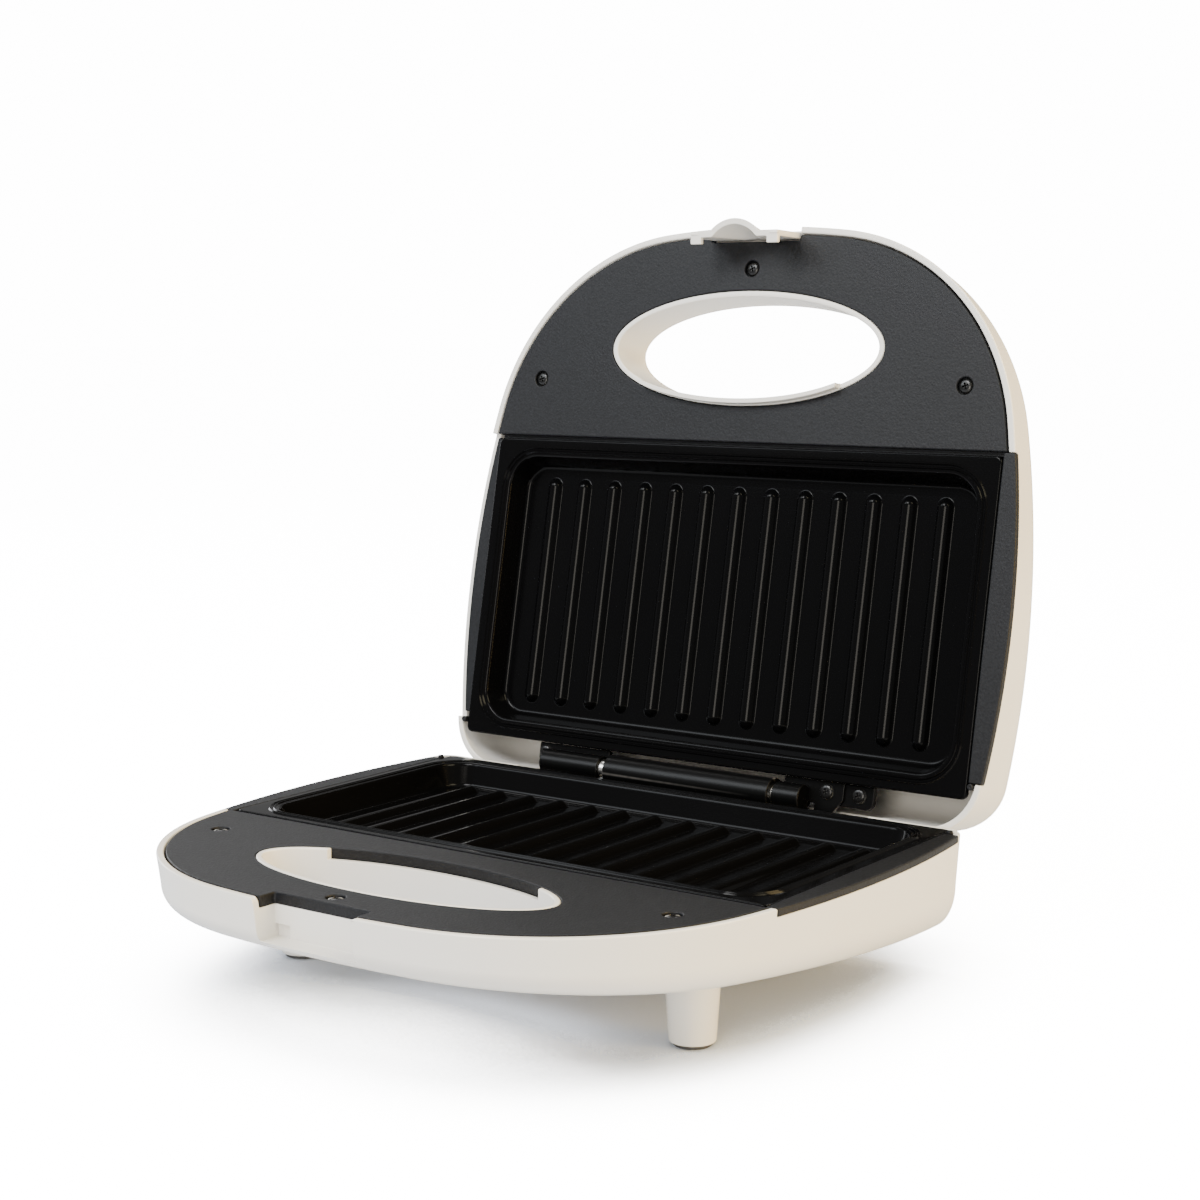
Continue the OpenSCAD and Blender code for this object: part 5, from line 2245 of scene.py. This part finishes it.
@dataclass
class SmallParts:
    """The bushing, the lamps' lenses and the cover screws."""

    base: Half
    lid: Half
    bushing_face: float = 6.0
    bushing_bore: float = 3.3
    bushing_r: float = 6.0
    flange_r: float = 8.4
    flange_t: float = 2.4
    bushing_len: float = 8.0
    bushing_edge: float = 0.6
    cover_head_h: float = 1.55
    lens_out: float = 0.6
    lens_root: float = 1.0
    lens_fall: float = 1.2
    lens_in: float = 0.1
    lens_dome: Profile = ((0.0, 0.75), (0.12, 0.5), (0.6, 0.28))
    lens_crown: float = 0.08

    def build(self) -> None:
        """Makes the small parts."""
        self._bushing()
        for lamp in LAMPS:
            self._lens(lamp)
        for half in (self.base, self.lid):
            spots = HandleCover(half).screw_places()
            places = [Matrix.Translation((x, y, COVER_CUP)) for x, y in spots]
            Workshop.piece(Screw(head_h=self.cover_head_h).group(places),
                           f"{half.name}_cover_fasteners", half,
                           SCREW, "black_screw", f"{half.name}_cover_screws")

    def _bushing(self) -> None:
        """The rubber bushing of the rear wall, a flanged ring."""
        bore, r, wide, face = self.bushing_bore, self.bushing_r, self.flange_r, self.bushing_face
        rear, end = face - self.flange_t, face + self.bushing_len
        section = round_corners([
            (bore, rear), (wide, rear), (wide, face), (r, face), (r, end), (bore, end)
        ], self.bushing_edge)
        ring_shape = lathe(section, bushing_place(0.0), closed=True)
        Workshop.piece(scratch_object(ring_shape), "lead_bushing",
                       self.base, BUSHING, "rubber_black", "cord_bushing")

    def _lens(self, lamp: SignalLamp) -> None:
        """A domed lens that stands out of the lid's outer face.

        Args:
            lamp: The lamp.
        """
        y, r = FORM.front_y - LAMP_BACK, LENS_R
        top = FORM.depth(y) + self.lens_out
        seat = FORM.depth(y + r + self.lens_fall) - FORM.wall - self.lens_in
        low = seat + self.lens_root
        profile = [(0.0, low), (r, low)]
        profile += [(r - inside, top - down) for inside, down in self.lens_dome]
        profile += [(r / 2, top - self.lens_crown), (0.0, top)]
        place = Matrix.Translation((lamp.side * LAMP_X, y, 0))
        Workshop.piece(
            scratch_object(lathe(profile, place, steps=40)), f"{lamp.shows}_lamp_lens", self.lid,
            LensFinish(f"{lamp.shows}_lens_plastic", lamp.tint), lamp.slot,
            f"{lamp.shows}_lens"
        )


class InnerParts:
    """The parts whose CAD solids are shown as they are, with their finishes."""

    FINISHES: dict[str, Finish] = {
        "base_heater": HEATER,
        "lid_heater": HEATER,
        "base_heat_shield": SHIELD,
        "lid_heat_shield": SHIELD,
        "base_frame_screws": ZINC,
        "lid_frame_screws": ZINC,
        "base_shield_screws": ZINC,
        "lid_shield_screws": ZINC,
        "thermostat": PHENOLIC,
        "terminal_block": CERAMIC,
        "thermal_fuse": FUSE,
        "lamp_holder": LAMP,
        "latch_pin": STEEL,
        "foot_pads": RUBBER,
    }

    def dress(self) -> None:
        """Gives each of these CAD nodes its finish."""
        for node, finish in self.FINISHES.items():
            obj = frame["nodes"][node]
            if not obj.material_slots:
                obj.data.materials.append(None)
            for slot in obj.material_slots:
                slot.material = finish.build()
            LOG.info("%s is dressed in %s", node, finish.name)


# ------------------------------------------------------------------------------- the studio


WHITE = (1.0, 1.0, 1.0, 1.0)


@dataclass
class CameraRig:
    """The camera, placed from the hinge axis."""

    azimuth: float = 36.088
    elevation: float = 7.275
    roll: float = -0.127
    lens: float = 65.408
    sensor: float = 36.0
    near: float = 0.01
    x: float = 433.97
    behind_hinge: float = -652.79
    z: float = 216.96

    def build(self, hinge_y: float) -> bpy.types.Object:
        """Makes the camera and sets it on the scene.

        Args:
            hinge_y: The hinge axis along y, in metres.

        Returns:
            The camera.
        """
        az, el, ro = (math.radians(v) for v in (self.azimuth, self.elevation, self.roll))
        back = Vector((math.sin(az) * math.cos(el), -math.cos(az) * math.cos(el), math.sin(el)))
        level = Vector((math.cos(az), math.sin(az), 0.0))
        over = back.cross(level)
        right = math.cos(ro) * level + math.sin(ro) * over
        up = -math.sin(ro) * level + math.cos(ro) * over
        data = bpy.data.cameras.new("camera")
        data.sensor_width = self.sensor
        data.lens = self.lens
        data.clip_start = self.near
        camera = bpy.data.objects.new("camera", data)
        camera.matrix_world = Matrix((
            (right.x, up.x, back.x, self.x * MM),
            (right.y, up.y, back.y, hinge_y + self.behind_hinge * MM),
            (right.z, up.z, back.z, self.z * MM),
            (0, 0, 0, 1),
        ))
        bpy.context.scene.collection.objects.link(camera)
        bpy.context.scene.camera = camera
        return camera


@dataclass(frozen=True)
class Softbox:
    """A large soft lamp, placed round the toaster by its direction."""

    name: str
    azimuth: float
    elevation: float
    side: float
    power: float
    tint: Colour = (1.0, 1.0, 1.0)

    def build(self, aim: Vector, distance: float) -> bpy.types.Object:
        """Makes the lamp.

        Args:
            aim: The point that it faces.
            distance: Its distance from that point.

        Returns:
            The lamp.
        """
        data = bpy.data.lights.new(self.name, "AREA")
        data.shape = "SQUARE"
        data.size = self.side
        data.energy = self.power
        data.color = self.tint
        az, el = math.radians(self.azimuth), math.radians(self.elevation)
        way = Vector((math.sin(az) * math.cos(el), -math.cos(az) * math.cos(el), math.sin(el)))
        lamp = bpy.data.objects.new(self.name, data)
        lamp.location = aim + distance * way
        lamp.rotation_euler = way.to_track_quat("Z", "Y").to_euler()
        bpy.context.scene.collection.objects.link(lamp)
        return lamp


@dataclass
class Studio:
    """The pale floor with a painted shadow near the toaster, the softboxes and the white surround.
    """

    floor_half: float = 14.0
    surround: float = 0.42
    backdrop: float = 15.0
    # floor_glow, shade_reach and shade_range set the floor's camera glow and the painted shadow
    # that ambient occlusion cuts into it
    floor_glow: float = 14.5
    shade_reach: float = 0.11
    shade_range: tuple[float, float] = (0.2, 0.85)
    aim: tuple[float, float, float] = (0.0, 0.0, 0.1)
    distance: float = 1.8
    boxes: tuple[Softbox, ...] = (
        Softbox("key_softbox", -12, 48, 0.7, 36.0),
        Softbox("left_key_softbox", -44, 36, 0.7, 15.0, (0.9, 0.95, 1.0)),
        Softbox("left_low_softbox", -105, 12, 0.7, 10.0, (0.95, 0.97, 1.0)),
        Softbox("warm_side_softbox", 102, 5, 0.8, 52.0, (1.0, 0.67, 0.24)),
        Softbox("warm_back_softbox", 120, 45, 0.7, 24.0, (1.0, 0.76, 0.36)),
        Softbox("warm_front_softbox", 16, 12, 0.7, 19.0, (1.0, 0.94, 0.84)),
        Softbox("high_side_softbox", 75, 45, 0.7, 20.0, (1.0, 0.9, 0.6)),
        Softbox("back_softbox", 180, 45, 0.7, 14.0),
        Softbox("left_back_softbox", -120, 45, 0.7, 8.0),
    )

    def build(self) -> None:
        """Makes the studio."""
        self._floor()
        for box in self.boxes:
            box.build(Vector(self.aim), self.distance)
        self._surround()

    def _floor(self) -> None:
        """Lays the paper on the floor."""
        mesh = bpy.data.meshes.new("studio_floor")
        half = self.floor_half
        corners = [(*p, 0.0) for p in rectangle(-half, -half, half, half)]
        mesh.from_pydata(corners, [], [range(len(corners))])
        floor = bpy.data.objects.new("studio_floor", mesh)
        bpy.context.scene.collection.objects.link(floor)
        mesh.materials.append(self._paper())

    def _surround(self) -> None:
        """Closes the studio in white, which is brighter where the camera sees it."""
        world = bpy.data.worlds.new("white_surround")
        world.use_nodes = True
        tree = world.node_tree
        back = tree.nodes["Background"]
        back.inputs["Color"].default_value = WHITE
        seen = tree.nodes.new("ShaderNodeMapRange")
        seen.inputs["To Min"].default_value = self.surround
        seen.inputs["To Max"].default_value = self.backdrop
        path = tree.nodes.new("ShaderNodeLightPath")
        tree.links.new(path.outputs["Is Camera Ray"], seen.inputs["Value"])
        tree.links.new(seen.outputs[0], back.inputs["Strength"])
        bpy.context.scene.world = world

    def _paper(self) -> bpy.types.Material:
        """The white paper of the floor, which glows for the camera as in a packshot; ambient
        occlusion dims the glow near the toaster into a painted shadow.

        Returns:
            The material.
        """
        paper = PAPER.build()
        tree = paper.node_tree
        shader = tree.nodes["Principled BSDF"]
        # painted shadow: ambient occlusion dims the floor's camera-only glow near the toaster
        shade = tree.nodes.new("ShaderNodeAmbientOcclusion")
        shade.inputs["Distance"].default_value = self.shade_reach
        painted_shadow_glow = tree.nodes.new("ShaderNodeMapRange")
        painted_shadow_glow.interpolation_type = "SMOOTHERSTEP"
        low, high = self.shade_range
        painted_shadow_glow.inputs["From Min"].default_value = low
        painted_shadow_glow.inputs["From Max"].default_value = high
        painted_shadow_glow.inputs["To Max"].default_value = self.floor_glow
        tree.links.new(shade.outputs["AO"], painted_shadow_glow.inputs["Value"])
        path = tree.nodes.new("ShaderNodeLightPath")
        glow = tree.nodes.new("ShaderNodeMath")
        glow.operation = "MULTIPLY"
        tree.links.new(path.outputs["Is Camera Ray"], glow.inputs[0])
        tree.links.new(painted_shadow_glow.outputs[0], glow.inputs[1])
        tree.links.new(glow.outputs[0], shader.inputs["Emission Strength"])
        shader.inputs["Emission Color"].default_value = WHITE
        return paper


def main() -> None:
    """Builds the toaster and its studio."""
    logging.basicConfig(level=logging.INFO, format="%(name)s: %(message)s")
    base, lid = Mounting().halves()
    CameraRig().build(base.to_room.translation.y)
    Studio().build()
    BaseCasing(base).build()
    LidCasing(lid).build()
    for half in (base, lid):
        HandleCover(half).build()
        PlateFrame(half).build()
        GrillPlate(half).build()
    Hinge(base, lid).build()
    Latch(lid).build()
    Foot(base).build()
    SmallParts(base, lid).build()
    InnerParts().dress()
    LOG.info("%d pieces are made", Workshop.made)


if __name__ == "__main__":
    main()
